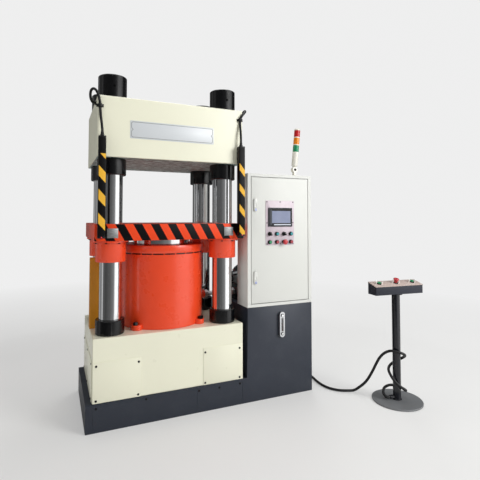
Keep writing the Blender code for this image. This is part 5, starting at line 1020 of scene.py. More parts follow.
def make_gauge():
    """Oil-level gauge with its clear tube and two bolts."""
    face = TANK_FRONT - GAUGE_DEPTH
    place = at(GAUGE_X, 0, GAUGE_Z) @ FRONT
    form = (prism, round_outline(*GAUGE_BODY), -TANK_FRONT + GAP, -face, place, GAUGE_EDGE, 3)
    body = piece("gauge_body", ZINC, [form], node="oil_gauge")
    opening = round_outline(*GAUGE_OPENING)
    cut(body, [(prism, opening, -face - GAUGE_OPENING_DEPTH, -face + CLEAR, place)])
    tube = at(GAUGE_X, face + TUBE_SINK, GAUGE_Z)
    piece("gauge_fluid", GAUGE_FLUID, [(disc, *FLUID, tube, COARSE)])
    radii = TUBE_RADIUS, TUBE_RADIUS + TUBE_WALL
    glass = (ring, *radii, -TUBE_HALF, TUBE_HALF, TUBE_EDGE, tube, COARSE)
    piece("gauge_tube", GAUGE_GLASS, [glass])
    spots = [at(GAUGE_X, face, GAUGE_Z + sign * GAUGE_BOLT_REACH) @ FRONT for sign in (-1, 1)]
    piece("gauge_bolts", CHROME, [(disc, *GAUGE_BOLT, spot) for spot in spots])
    washers = [(ring, *GAUGE_WASHER, spot, SMALL_ROUND) for spot in spots]
    piece("gauge_washers", BLACK_SCREW, washers)


# Cabinet: cable gland, louvres in its right side, and the plugs of its hanging holes at the rear
GLAND_NUTS = (
    ((0.0195, GAP, 0.007, 0.001), 6), ((0.0180, 0.007, 0.014, 0.001), 32),
    ((0.0190, 0.014, 0.026, 0.002), 6),
)
GLAND_SLEEVE = (0.0150, 0.026, 0.0345, 0.003)
LOUVRE_OUTLINE = ((0, 0), (0.007, 0), (0.0065, 0.002), (0, 0.013))
LOUVRE_LOW, LOUVRE_PITCH, LOUVRE_COUNT, LOUVRE_INSET = 0.800, 0.024, 8, 0.035
PLUG_INSET_X, PLUG_INSET_Z, PLUG = 0.040, 0.060, (0.0085, GAP, 0.0025, 0.0008)


def make_cabinet():
    """Cabinet's shell with its cable gland, louvres and plugs."""
    dress("cabinet", OFF_WHITE)
    x, _, z = CONDUIT_ROUTE[0]
    gland = at(x, CABINET_BACK, z) @ REAR
    shapes = [(disc, *step, gland, sides) for step, sides in GLAND_NUTS]
    piece("cabinet_gland", BLACK_PLASTIC, shapes + [(ring, CONDUIT_RADIUS, *GLAND_SLEEVE, gland)])
    first, last = -CABINET_BACK + LOUVRE_INSET, -TANK_FRONT - LOUVRE_INSET
    levels = [LOUVRE_LOW + LOUVRE_PITCH * i for i in range(LOUVRE_COUNT)]
    louvres = [(prism, LOUVRE_OUTLINE, first, last, at(CABINET_HIGH.x, 0, z) @ FRONT) for z in levels]
    vent_with_painted_shade = piece("cabinet_louvres", OFF_WHITE, louvres)
    # The louvres' downward faces are black: painted shade, standing in for the dark openings under them
    refinish(vent_with_painted_shade, BLACK_PLASTIC, lambda face: face.normal.z < -0.9)
    plugs = []
    for x in (TANK_LEFT + PLUG_INSET_X, TANK_RIGHT - PLUG_INSET_X):
        for z in (CABINET_LOW.z + PLUG_INSET_Z, CABINET_HIGH.z - PLUG_INSET_Z):
            plugs.append((disc, *PLUG, at(x, CABINET_BACK, z) @ REAR))
    piece("cabinet_plugs", BLACK_PLASTIC, plugs)


# Door: sheet, edge fold, hinge pins and foam seal
DOOR_SHEET, DOOR_DEPTH, DOOR_ROUND = 0.002, 0.018, 0.0015
HINGE_PLACE = at(1.085, -0.348)
HINGE_RADIUS, HINGE_HALF, HINGE_EDGE, HINGE_SIDES = 0.0034, 0.006, 0.0003, 16
SEAL_WIDTH, SEAL_FRONT, SEAL_BACK, SEAL_EDGE = 0.012, 0.002, 0.011, 0.003
SEAL_INSET_X, SEAL_INSET_Z = 0.028, 0.022

# Locks: housing, the pocket with its lever, the lever's finger dish, and the key
LOCK_X = 0.626
LOCK_HEIGHTS = {"lower": 0.907, "upper": 1.450}
LOCK_FACE = TANK_FRONT - 0.010
LOCK_SIZE, LOCK_SINK, LOCK_EDGE = (0.028, 0.096, 0.0085, 8), 0.0005, 0.0018
LEVER_WIDTH, LEVER_LENGTH, LEVER_THICKNESS, LEVER_MIDDLE = 0.020, 0.066, 0.006, 0.0107
LEVER_ROUND, LEVER_EDGE = 0.004, 0.0009
POCKET = (LEVER_WIDTH + 0.0008, LEVER_LENGTH + 0.0026, 0.001)
POCKET_DEPTH = LEVER_THICKNESS + 0.0020
DISH, DISH_DEPTH, DISH_DROP, DISH_EDGE = (0.011, 0.026, 0.005), 0.0016, -0.014, 0.0006
KEY_DROP, KEY_RING = -0.037, (0.0052, 0.0080, -0.001, 0.0016, 0.0006)
KEY_PLUG = (0.0051, -0.001, 0.0008, 0.0002)
KEY_SLIT = ((-0.0005, -0.0026, -0.0005), (0.0005, 0.0026, 0.002))


def make_door():
    """Folded door."""
    low = Vector((DOOR_LOW.x, TANK_FRONT, DOOR_LOW.z))
    high = Vector((DOOR_HIGH.x, TANK_FRONT + DOOR_DEPTH, DOOR_HIGH.z))
    door = piece("door_leaf", OFF_WHITE, [(block, low, high, DOOR_ROUND, 3)], "cabinet_door", "door")
    sheet = Vector((DOOR_SHEET, DOOR_SHEET, DOOR_SHEET))
    hollow = [(block, low + sheet, (high.x - DOOR_SHEET, high.y + 2 * CLEAR, high.z - DOOR_SHEET))]
    for z in (low.z, high.z):
        levels = z - HINGE_HALF, z + HINGE_HALF
        hollow.append((disc, HINGE_RADIUS, *levels, HINGE_EDGE, HINGE_PLACE, HINGE_SIDES))
    cut(door, hollow)


def make_door_seal():
    """Foam seal round the inside of the door."""
    front, back, width = TANK_FRONT + SEAL_FRONT, TANK_FRONT + SEAL_BACK, SEAL_WIDTH
    first, last = DOOR_LOW.x + SEAL_INSET_X, DOOR_HIGH.x - SEAL_INSET_X
    bottom, top = DOOR_LOW.z + SEAL_INSET_Z, DOOR_HIGH.z - SEAL_INSET_Z
    seal = [(block, (x, front, bottom), (x + width, back, top), SEAL_EDGE) for x in (first, last - width)]
    for z in (bottom, top - width):
        seal.append((block, (first + width, front, z), (last - width, back, z + width), SEAL_EDGE))
    piece("door_seal", BLACK_RUBBER, seal, "cabinet_door")


def make_locks():
    """The door's two recessed lever locks."""
    door = "cabinet_door"
    for which, z in LOCK_HEIGHTS.items():
        place = at(LOCK_X, 0, z) @ FRONT
        housing = (prism, round_outline(*LOCK_SIZE), -TANK_FRONT - LOCK_SINK, -LOCK_FACE, place, LOCK_EDGE, 3)
        body = piece(f"lock_housing_{which}", WHITE_PLASTIC, [housing], door)
        middle = place @ at(0, LEVER_MIDDLE, -LOCK_FACE)
        cut(body, [(prism, round_outline(*POCKET), -POCKET_DEPTH, CLEAR, middle)])
        key = place @ at(0, KEY_DROP, -LOCK_FACE)
        piece(f"lock_key_ring_{which}", BLUE, [(ring, *KEY_RING, key, SMALL_ROUND)], door)
        barrel = piece(f"lock_key_barrel_{which}", ZINC, [(disc, *KEY_PLUG, key)], door)
        cut(barrel, [(block, *KEY_SLIT, 0, 2, key)])
        lever = middle @ at(0, 0, -LEVER_THICKNESS - GAP)
        name = f"lock_lever_{which}"
        outline = round_outline(LEVER_WIDTH, LEVER_LENGTH, LEVER_ROUND)
        bar = (prism, outline, 0, LEVER_THICKNESS, lever, LEVER_EDGE)
        grip = piece(f"lever_{which}", WHITE_PLASTIC, [bar], f"{name}_body", name)
        heights = LEVER_THICKNESS - DISH_DEPTH, LEVER_THICKNESS + CLEAR
        cut(grip, [(prism, round_outline(*DISH), *heights, lever @ at(0, DISH_DROP), DISH_EDGE)])


# Mounting plate: face, wire ducts with their slots, two rows of devices, and the controller above
MOUNT_FACE = CABINET_BACK - 0.0133
ROW_INSET, ROW_RISE = 0.040, 0.020
DUCT_INSETS, DUCT_DEPTH, DUCT_COVER, DUCT_HEIGHT = (0.080, 0.012, 0.012, 0.080), 0.0465, 0.0016, 0.040
DUCT_MARGIN, DUCT_EDGE = 0.001, 0.0005
SLOT_PITCH, SLOT_HALF, SLOT_HEIGHT, SLOT_LEVELS = 0.012, 0.003, 0.005, (-0.0004, 0.0354)
SLOT_BACK, SLOT_FRONT = 0.004, 0.0454
DEVICE_SIZES = ((0.046, 0.085), (0.046, 0.085), (0.054, 0.092), (0.072, 0.100), (0.072, 0.100))
DEVICE_DEPTH, DEVICE_INSET, DEVICE_GAP, DEVICE_PROUD, DEVICE_SINK = 0.0552, 0.024, 0.012, 0.001, 0.002
TOGGLE_HALF, TOGGLE_DEPTH, TOGGLE_LOW, TOGGLE_HIGH = 0.004, 0.006, 0.007, 0.009
POLE_PITCH, POLE_REACH_SHARE = 0.016, 0.38
CONTROLLER_DEPTH, CONTROLLER_HALF, CONTROLLER_SPAN, CONTROLLER_EDGE = 0.0610, 0.036, (0.0237, 0.2343), 0.0015
TERMINAL, TERMINAL_COUNT, TERMINAL_PITCH, TERMINAL_START = (0.0040, 0.0015), 14, 0.0145, 0.034
TERMINAL_REACH, TERMINAL_SINK = 0.044, 0.001
SMALL_EDGE = 0.001


def make_ducts(low, high, pitch):
    """Wire ducts, with the slots of their walls."""
    ducts, face = [], MOUNT_FACE
    for i, inset in enumerate(DUCT_INSETS):
        z = low.z + i * pitch
        first, last = low.x + inset, high.x - inset
        count = int((last - first) / SLOT_PITCH)
        for k in range(count):
            x = first + (k + 0.5) * (last - first) / count
            for level in SLOT_LEVELS:
                heights = z + level, z + level + SLOT_HEIGHT
                ducts.append(slab(x, SLOT_HALF, face - SLOT_FRONT, face - SLOT_BACK, *heights))
        front, bottom, top = face - DUCT_DEPTH, z + DUCT_MARGIN, z + DUCT_HEIGHT - DUCT_MARGIN
        ducts.append((block, (first, front, bottom), (last, front + DUCT_COVER, top), DUCT_EDGE))
    piece("duct_covers", DUCT_GREY, ducts)


def make_cabinet_inside():
    """Mounting plate with its ducts and devices."""
    dress("mounting_plate", ZINC)
    low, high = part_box("mounting_plate")
    face, left = MOUNT_FACE, low.x
    pitch = (high.z - low.z - ROW_INSET) / 3
    make_ducts(low, high, pitch)
    devices, toggles, spots = [], [], []
    front, back = face - DEVICE_DEPTH, face - DEVICE_SINK
    for row in range(2):
        centre = low.z + (row + 0.5) * pitch + ROW_RISE
        x = left + DEVICE_INSET
        for width, height in DEVICE_SIZES:
            middle, half, depths = x + width / 2, width / 2 + GAP, (front - DEVICE_PROUD, back)
            devices.append(slab(middle, half, *depths, centre - height / 4, centre + height / 4, SMALL_EDGE))
            levels = centre - TOGGLE_LOW, centre + TOGGLE_HIGH
            toggles.append(slab(middle, TOGGLE_HALF, front - TOGGLE_DEPTH, front, *levels, SMALL_EDGE))
            count, reach = max(2, int(width / POLE_PITCH)), POLE_REACH_SHARE * height
            for k in range(count):
                across = x + (k + 0.5) * width / count
                spots += [at(across, front, centre + rise) @ FRONT for rise in (-reach, reach)]
            x += width + DEVICE_GAP
    z = low.z + 2.5 * pitch + ROW_RISE
    first, last = (left + place for place in CONTROLLER_SPAN)
    front = face - CONTROLLER_DEPTH
    corners = (first, front, z - CONTROLLER_HALF), (last, back, z + CONTROLLER_HALF)
    devices.append((block, *corners, CONTROLLER_EDGE))
    seat, reach = front + TERMINAL_SINK, TERMINAL_REACH
    for k in range(TERMINAL_COUNT):
        across = left + TERMINAL_START + k * TERMINAL_PITCH
        spots += [at(across, seat, z + rise) @ FRONT for rise in (-reach, reach)]
    piece("device_fronts", WHITE_PLASTIC, devices)
    piece("device_toggles", BLACK_PLASTIC, toggles)
    piece("device_terminals", ZINC, each(pan_screw, spots, *TERMINAL))


# Control panel: plate, screws, and the grid of its controls below its middle
PANEL_SIZE, PANEL_EDGE = (0.250, 0.340, 0.004, 5), 0.0006
PANEL_CENTRE = (PANEL_LOW + PANEL_HIGH) / 2
PANEL_FACE = TANK_FRONT - GAP - 0.003
PANEL_SCREW = (0.0046, 0.0020)
PANEL_SCREWS = [(x, z) for x in (-0.115, 0, 0.115) for z in (-0.160, 0, 0.160) if x or z]
CONTROL_PITCH = 0.062
CONTROL_DROPS = {"upper": 0.084, "lower": 0.146}
COLLAR_PROFILE = (
    (0.0120, 0.0155), (0.0126, 0.0160), (0.0138, 0.0160), (0.0145, 0.0150), (0.0145, 0.0015),
    (0.0158, 0.0008), (0.0158, 0), (0.0120, 0), (0.0120, 0.0155),
)

# Touch screen: rounding, the opening of its bezel, and its lit areas with a pale strip of painted glare, as
# shares of width and height
SCREEN_EDGE_ROUND = 0.0028
SCREEN_OPENING_SHARES = (0.045, 0.955)
SCREEN_DEPTHS, GLASS_LEVELS, LIT_LEVELS = (-CLEAR, 0.0012), (0.0006, 0.0013), (0.0004, 0.0008)
SCREEN_AREAS = (
    ("screen_edge", SCREEN_EDGE, (0.080, 0.145, 0.10, 0.90)),
    # Pale glowing strip low on the glass: painted glare, a highlight standing in for a reflection
    ("screen_display", SCREEN_LIT, (0.150, 0.915, 0.19, 0.83)),
    ("screen_painted_glare", SCREEN_PAINTED_GLARE, (0.230, 0.940, 0.075, 0.130)),
)

# Buttons: caps, the selectors' grips at rest, and the emergency stop
CAPS = {
    "reset_button": (TEAL, 1, "upper"), "light_button": (TEAL, 3, "upper"),
    "start_button": (GREEN, 0, "lower"), "stop_button": (CAP_RED, 1, "lower"),
    "return_button": (CAP_RED, 3, "lower"),
}
CAP_PROFILE = (
    (0, 0.0202), (0.00649, 0.0206), (0.00944, 0.021), (0.010974, 0.0204), (0.0118, 0.0188),
    (0.0118, 0.006), (0, 0.006),
)
CAP_SIDES, HEAD_SIDES = 40, 56
SELECTORS = {"selector_left": 0, "selector_right": 2}
SELECTOR_REST_DEG = 45
SELECTOR_BASE = (0.0110, 0.003, 0.0184, 0.0010)
GRIP_OUTLINE = ((-0.0042, -0.0132), (0.0042, -0.0132), (0.0032, 0.0132), (-0.0032, 0.0132))
GRIP_LEVELS, GRIP_EDGE = (0.0174, 0.0315), 0.0012
GRIP_MARK = ((-0.0006, 0.0015, 0.0313), (0.0006, 0.0095, 0.0318), 0.0002, 1)
DOME_SHARE, RIM_SHARE, UNDERSIDE_SHARE = 0.70, 0.12, 0.94
DOME_STEPS = 8
PANEL_STOP = (0.0113, 0.006, 0.020, 0.023, 0.016)


def control_place(column, row):
    """Centre of a control on the panel's face, with local +Z towards the operator."""
    x = PANEL_CENTRE.x + (column - 1.5) * CONTROL_PITCH
    return at(x, PANEL_FACE, PANEL_CENTRE.z - CONTROL_DROPS[row]) @ FRONT


def make_panel():
    """Operator's panel with its screws, its collars and its touch screen."""
    door = "cabinet_door"
    place = at(PANEL_CENTRE.x, 0, PANEL_CENTRE.z) @ FRONT
    plate = (prism, round_outline(*PANEL_SIZE), -TANK_FRONT + GAP, -PANEL_FACE, place, PANEL_EDGE)
    piece("panel_plate", LAMINATE, [plate], door, "control_panel")
    spots = [place @ at(x, z, -PANEL_FACE) for x, z in PANEL_SCREWS]
    piece("panel_screws", BLACK_SCREW, each(pan_screw, spots, *PANEL_SCREW), door)
    spots = [control_place(column, row) for row in CONTROL_DROPS for column in range(4)]
    piece("control_collars", BLACK_PLASTIC, [(lathe, COLLAR_PROFILE, spot, MEDIUM) for spot in spots], door)
    low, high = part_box("touch_screen")
    form = [(block, low, high, SCREEN_EDGE_ROUND, 3)]
    housing = piece("screen_body", SCREEN_GREY, form, door, "touch_screen")

    def area(left, right, bottom, top, front, back):
        """A flat piece of the screen, between shares of its width and of its height."""
        width, height = high.x - low.x, high.z - low.z
        corner = (low.x + left * width, low.y + front, low.z + bottom * height)
        return block, corner, (low.x + right * width, low.y + back, low.z + top * height)

    opening = *SCREEN_OPENING_SHARES, *SCREEN_OPENING_SHARES
    cut(housing, [area(*opening, *SCREEN_DEPTHS)])
    piece("screen_glass", SCREEN_BLACK, [area(*opening, *GLASS_LEVELS)], door)
    for name, finish, shares in SCREEN_AREAS:
        piece(name, finish, [area(*shares, *LIT_LEVELS)], door)


def mushroom(name, place, finish, stem, stem_low, head, head_low, height):
    """Mushroom-headed button, riding on its own body."""
    profile = [(0, head_low + height)]
    for i in range(1, DOME_STEPS + 1):
        angle = math.pi / 2 * i / DOME_STEPS
        rise = 1 - DOME_SHARE + DOME_SHARE * math.cos(angle)
        profile.append((head * math.sin(angle), head_low + height * rise))
    profile += [
        (head, head_low + RIM_SHARE * height), (UNDERSIDE_SHARE * head, head_low), (stem, head_low),
        (stem, stem_low), (0, stem_low),
    ]
    form = [(lathe, profile, place, HEAD_SIDES)]
    piece(f"{name}_head", finish, form, f"{name}_body", name, sharp=HEAD_SHARP_DEG)


def make_controls():
    """Push-buttons, selectors and the emergency stop of the panel."""
    for name, (finish, column, row) in CAPS.items():
        shape = (lathe, CAP_PROFILE, control_place(column, row), CAP_SIDES)
        piece(f"{name}_cap", finish, [shape], f"{name}_body", name, sharp=CAP_SHARP_DEG)
    mushroom("panel_emergency_stop", control_place(2, "lower"), RED, *PANEL_STOP)
    for name, column in SELECTORS.items():
        place = control_place(column, "upper")
        grip = place @ turned(SELECTOR_REST_DEG)
        knob = [(disc, *SELECTOR_BASE, place, CAP_SIDES)]
        knob.append((prism, GRIP_OUTLINE, *GRIP_LEVELS, grip, GRIP_EDGE, 3))
        piece(f"{name}_knob", BLACK_PLASTIC, knob, f"{name}_body", name)
        piece(f"{name}_mark", WHITE_PLASTIC, [(block, *GRIP_MARK, grip)], f"{name}_body")


# Signal tower: pivot, lean at rest, foot, bolts, stem, lenses and the bands between them
TOWER_X, TOWER_Y = 1.034, -0.255
TOWER_PIVOT = at(TOWER_X, TOWER_Y, 1.743)
TOWER_LEAN_DEG = 5.7
TOWER_FOOT, HINGE_CHEEK, CHEEK_EDGE = (0.0325, GAP, 0.0108, 0.0015), (0.0225, 0.0074, 0.0158), 0.0012
PIVOT_BOLT_REACH, PIVOT_WASHER = 0.0155, (0.0105, -0.001, 0.004, 0.001)
PIVOT_BOLT = (0.0060, 0.003, 0.0065, 0.001)
TOWER_RADIUS, TOWER_STEM_TOP = 0.0245, 0.146
STEM_PROFILE = (
    (0, TOWER_STEM_TOP), (TOWER_RADIUS, TOWER_STEM_TOP), (TOWER_RADIUS, 0.036),
    (TOWER_RADIUS - 0.0015, 0.034), (0.80 * TOWER_RADIUS, 0.0315), (0.72 * TOWER_RADIUS, 0.0265),
    (0, 0.0265),
)
KNUCKLE, NECK_BLOCK = (0.0215, -0.007, 0.007, 0.001), ((-0.008, -0.007, 0.011), (0.008, 0.007, 0.034), 0.001)
LENSES = {"green": LENS_GREEN, "amber": LENS_AMBER, "red": LENS_RED}
LENS_POINTS, LENS_INSETS, LENS_HEIGHT = 96, (0.0006, 0.0014), 0.055
BAND_THICKNESS, BAND_EDGE, CAP_RISE, CAP_STEPS, CAP_SHARE = 0.0075, 0.0006, 0.0118, 7, 0.99


def make_tower():
    """Folding signal tower with green, amber and red lenses."""
    dress("tower_bracket", LAMP_WHITE)
    hinge = TOWER_PIVOT @ FRONT
    foot = [(disc, *TOWER_FOOT, at(TOWER_X, TOWER_Y, CABINET_HIGH.z), MEDIUM)]
    radius, *reaches = HINGE_CHEEK
    bolt = []
    for sign, outwards in ((-1, DOWN), (1, HERE)):
        foot.append((disc, radius, *sorted(sign * reach for reach in reaches), CHEEK_EDGE, hinge, MEDIUM))
        side = hinge @ at(0, 0, sign * PIVOT_BOLT_REACH) @ outwards
        bolt += [(disc, *PIVOT_WASHER, side), (disc, *PIVOT_BOLT, side, 6)]
    piece("tower_foot", LAMP_WHITE, foot)
    piece("tower_pivot_bolt", BLACK_PLASTIC, bolt)
    place = TOWER_PIVOT @ turned(TOWER_LEAN_DEG, "Y")
    body = "tower_light_body"
    stem = [
        (lathe, STEM_PROFILE, place, HEAD_SIDES),
        (disc, *KNUCKLE, place @ FRONT, MEDIUM),
        (block, *NECK_BLOCK, 2, place),
    ]
    piece("tower_stem", LAMP_WHITE, stem, body, "tower_light")
    level = TOWER_STEM_TOP
    bands = []
    outline = polar((TOWER_RADIUS - LENS_INSETS[i % 2], i / LENS_POINTS) for i in range(LENS_POINTS))
    for name, finish in LENSES.items():
        lens = (prism, outline, level, level + LENS_HEIGHT, place)
        piece(f"tower_lens_{name}", finish, [lens], body, sharp=RIB_SHARP_DEG)
        level += LENS_HEIGHT
        bands.append((disc, TOWER_RADIUS, level, level + BAND_THICKNESS, BAND_EDGE, place, HEAD_SIDES))
        level += BAND_THICKNESS
    dome = [(0, level + CAP_RISE)]
    for i in range(1, CAP_STEPS + 1):
        angle = math.pi / 2 * i / CAP_STEPS
        dome.append((TOWER_RADIUS * math.sin(angle) * CAP_SHARE, level + CAP_RISE * math.cos(angle)))
    dome.append((0, level))
    piece("tower_bands", LAMP_WHITE, bands + [(lathe, dome, place, HEAD_SIDES)], body)


# Motor behind the cabinet: axis, fins, flange, feet, fan cover, fan and terminal box
MOTOR_LEFT, MOTOR_Y, MOTOR_Z = TANK_LEFT + 0.206, TANK_REAR - 0.151, TANK_TOP + 0.132
MOTOR_LENGTH, MOTOR_FLANGE = 0.250, 0.018
MOTOR_AXIS = at(MOTOR_LEFT, MOTOR_Y, MOTOR_Z) @ RIGHT
FIN_COUNT, FIN_LEVELS = 36, (0.004, MOTOR_LENGTH - 0.004)
FIN_POINTS = ((0, 0.110), (0.32, 0.110), (0.44, 0.1255), (0.88, 0.1255))
FLANGE_PROFILE = ((0, 0.006), (0.113, 0.006), (0.120, 0.002), (0.120, -0.016), (0.118, -0.018), (0, -0.018))
MOTOR_EAR = ((0.098, -0.014, -MOTOR_FLANGE), (0.124, 0.014, 0.020), 0.003)
FOOT_SHARES, FOOT_HALF, FOOT_REACH, FOOT_THICKNESS, FOOT_EDGE = (0.15, 0.85), 0.020, 0.115, 0.014, 0.002
LEG_HALF, LEG_WALL, LEG_LOW, LEG_DROP = 0.013, 0.007, 0.012, 0.056
COVER_END = 0.86 * 0.118
COVER_PROFILE = (
    (0.030, 0.320), (COVER_END - 0.004, 0.320), (COVER_END, 0.317), (0.1175, 0.262), (0.118, 0.248),
    (0.116, 0.248), (0.1155, 0.262), (COVER_END - 0.002, 0.315), (0.030, 0.318), (0.030, 0.320),
)
COVER_SLOTS, COVER_SLOT_HALF, COVER_SLOT_SHARE = ((0.048, 12), (0.066, 16), (0.084, 20)), 0.006, 0.34
COVER_SLOT_LOW, COVER_SLOT_HIGH = 0.300, 0.340
FAN_HUB, FAN_DISC = (0.030, 0.250, 0.3195, 0.002), (0.106, 0.244, 0.252, 0.002)
FAN_BLADE, FAN_BLADES = ((0.020, -0.0012, 0.254), (0.092, 0.0012, 0.300)), 7
TERMINAL_BOX = at(MOTOR_LEFT + MOTOR_LENGTH / 2, MOTOR_Y, MOTOR_Z + 0.110)
BOX_SHAPES = (((-0.052, -0.047, 0), (0.052, 0.047, 0.046)), ((-0.055, -0.050, 0.044), (0.055, 0.050, 0.060)))
BOX_EDGE, BOX_SCREW_REACH, BOX_SCREW = 0.004, (0.047, 0.042, 0.060), (0.0038, 0.0016)


def make_motor():
    """Finned motor with its fan cover, terminal box and feet."""
    fins = polar((radius, (i + share) / FIN_COUNT) for i in range(FIN_COUNT) for share, radius in FIN_POINTS)
    motor = [(prism, fins, *FIN_LEVELS, MOTOR_AXIS), (lathe, FLANGE_PROFILE, MOTOR_AXIS)]
    motor += [(block, *MOTOR_EAR, 2, MOTOR_AXIS @ turn) for turn in turns(4, 0.5)]
    depths = MOTOR_Y - FOOT_REACH, MOTOR_Y + FOOT_REACH
    for share in FOOT_SHARES:
        x = MOTOR_LEFT + share * MOTOR_LENGTH
        motor.append(slab(x, FOOT_HALF, *depths, TANK_TOP + GAP, TANK_TOP + FOOT_THICKNESS, FOOT_EDGE))
        for y in (MOTOR_Y - FOOT_REACH / 2, MOTOR_Y + FOOT_REACH / 2):
            leg = y - LEG_WALL, y + LEG_WALL, TANK_TOP + LEG_LOW, MOTOR_Z - LEG_DROP
            motor.append(slab(x, LEG_HALF, *leg, FOOT_EDGE))
    piece("motor_body", MOTOR_BLUE, motor, node="pump_motor")
    cover = piece("fan_cover", MOTOR_BLUE, [(lathe, COVER_PROFILE, MOTOR_AXIS)])
    slots = []
    for radius, count in COVER_SLOTS:
        half, wide = COVER_SLOT_HALF, COVER_SLOT_SHARE * math.tau * radius / count
        ends = (radius - half, -wide, COVER_SLOT_LOW), (radius + half, wide, COVER_SLOT_HIGH)
        slots += [(block, *ends, 0, 2, MOTOR_AXIS @ turn) for turn in turns(count)]
    cut(cover, slots)
    fan = [(disc, *FAN_HUB, MOTOR_AXIS), (disc, *FAN_DISC, MOTOR_AXIS, MEDIUM)]
    fan += [(block, *FAN_BLADE, 0, 2, MOTOR_AXIS @ turn) for turn in turns(FAN_BLADES)]
    piece("motor_fan", BLACK_PLASTIC, fan)
    box = [(block, *corners, BOX_EDGE, 3, TERMINAL_BOX) for corners in BOX_SHAPES]
    reach, side, top = BOX_SCREW_REACH
    spots = [TERMINAL_BOX @ at(x, y, top) for x in (-reach, reach) for y in (-side, side)]
    piece("terminal_box", MOTOR_BLUE, box + each(pan_screw, spots, *BOX_SCREW))


# Pump on the motor's flange: its turned form, outlet, suction pipe and bolts
PUMP_PLACE = at(MOTOR_LEFT - MOTOR_FLANGE - GAP, MOTOR_Y, MOTOR_Z) @ LEFT
PUMP_PROFILE = (
    (0, 0.165), (0.040, 0.165), (0.043, 0.163), (0.043, 0.150), (0.052, 0.150), (0.055, 0.147),
    (0.055, 0.096), (0.050, 0.092), (0.050, 0.084), (0.066, 0.082), (0.066, 0.072), (0.062, 0.070),
    (0.074, 0.026), (0.078, 0.018), (0.106, 0.018), (0.108, 0.016), (0.108, 0.002), (0.106, 0), (0, 0),
)
OUTLET_X, OUTLET_DROP = MOTOR_LEFT - MOTOR_FLANGE - GAP - 0.1225, 0.0275
OUTLET_PIPE, OUTLET_NUT = (0.020, 0.066, MOTOR_Y, 0.001), (0.030, 0.0655, 0.094, 0.003)
SUCTION = ((0.016, GAP, MOTOR_Z - TANK_TOP, 0.001), (0.022, GAP, 0.024, 0.002))
BELL_BOLT_CIRCLE, BELL_BOLT_RISE, BELL_BOLT = 0.094, 0.018, (0.016, 0.007)
PUMP_BOLT_CIRCLE, PUMP_BOLT_RISE, PUMP_BOLT = 0.047, 0.150, (0.006, 0.006)


def make_pump():
    """Bell housing and pump with its bolts, outlet and suction pipe."""
    outlet = at(OUTLET_X, 0, MOTOR_Z - OUTLET_DROP) @ REAR
    suction = at(OUTLET_X, MOTOR_Y, TANK_TOP)
    pump = [(lathe, PUMP_PROFILE, PUMP_PLACE), (disc, *OUTLET_PIPE, outlet)]
    piece("pump_body", DARK_SLATE, pump + stack(SUCTION, suction), node="pump")
    bolts = []
    for turn in turns(4, 0.5):
        place = PUMP_PLACE @ turn
        bolts.append((hex_bolt, place @ at(BELL_BOLT_CIRCLE, 0, BELL_BOLT_RISE), *BELL_BOLT))
        bolts.append((socket_screw, place @ at(PUMP_BOLT_CIRCLE, 0, PUMP_BOLT_RISE), *PUMP_BOLT))
    piece("pump_fittings", ZINC, bolts + [(disc, *OUTLET_NUT, outlet, 6)])


# Manifold on the tank: valves with coils and plugs, bolts, and the pressure pipe
MANIFOLD_LEFT, MANIFOLD_WIDTH, MANIFOLD_TOP = TANK_LEFT + 0.050, 0.150, TANK_TOP + 0.124
VALVE_SHARES, VALVE_HALF, VALVE_REACH, VALVE_HEIGHT, VALVE_EDGE = (0.25, 0.75), 0.0235, 0.0475, 0.0605, 0.003
COIL_REACH, COIL_RISE = 0.047, 0.030
COIL, COIL_NUT = (0.0215, -0.001, 0.024, 0.002), (0.0120, 0.023, 0.0305, 0.001)
COIL_PLUG_HALF, COIL_PLUG_REACHES = 0.012, (0.050, 0.069)
COIL_PLUG_LEVELS, COIL_PLUG_EDGE = (0.046, 0.072), 0.002
MANIFOLD_BOLT_INSET, MANIFOLD_BOLT_REACH, MANIFOLD_BOLT = 0.014, 0.052, (0.008, 0.007)
PIPE_RADIUS, PIPE_INSET, PIPE_EDGE = 0.017, 0.004, 0.001
PIPE_NUT_RADIUS, PIPE_NUT, PIPE_NUT_EDGE = 0.030, 0.028, 0.003
PIPE_COLLAR_RADIUS, PIPE_COLLAR, PIPE_COLLAR_SINK, PIPE_COLLAR_EDGE = 0.022, 0.009, 0.001, 0.002


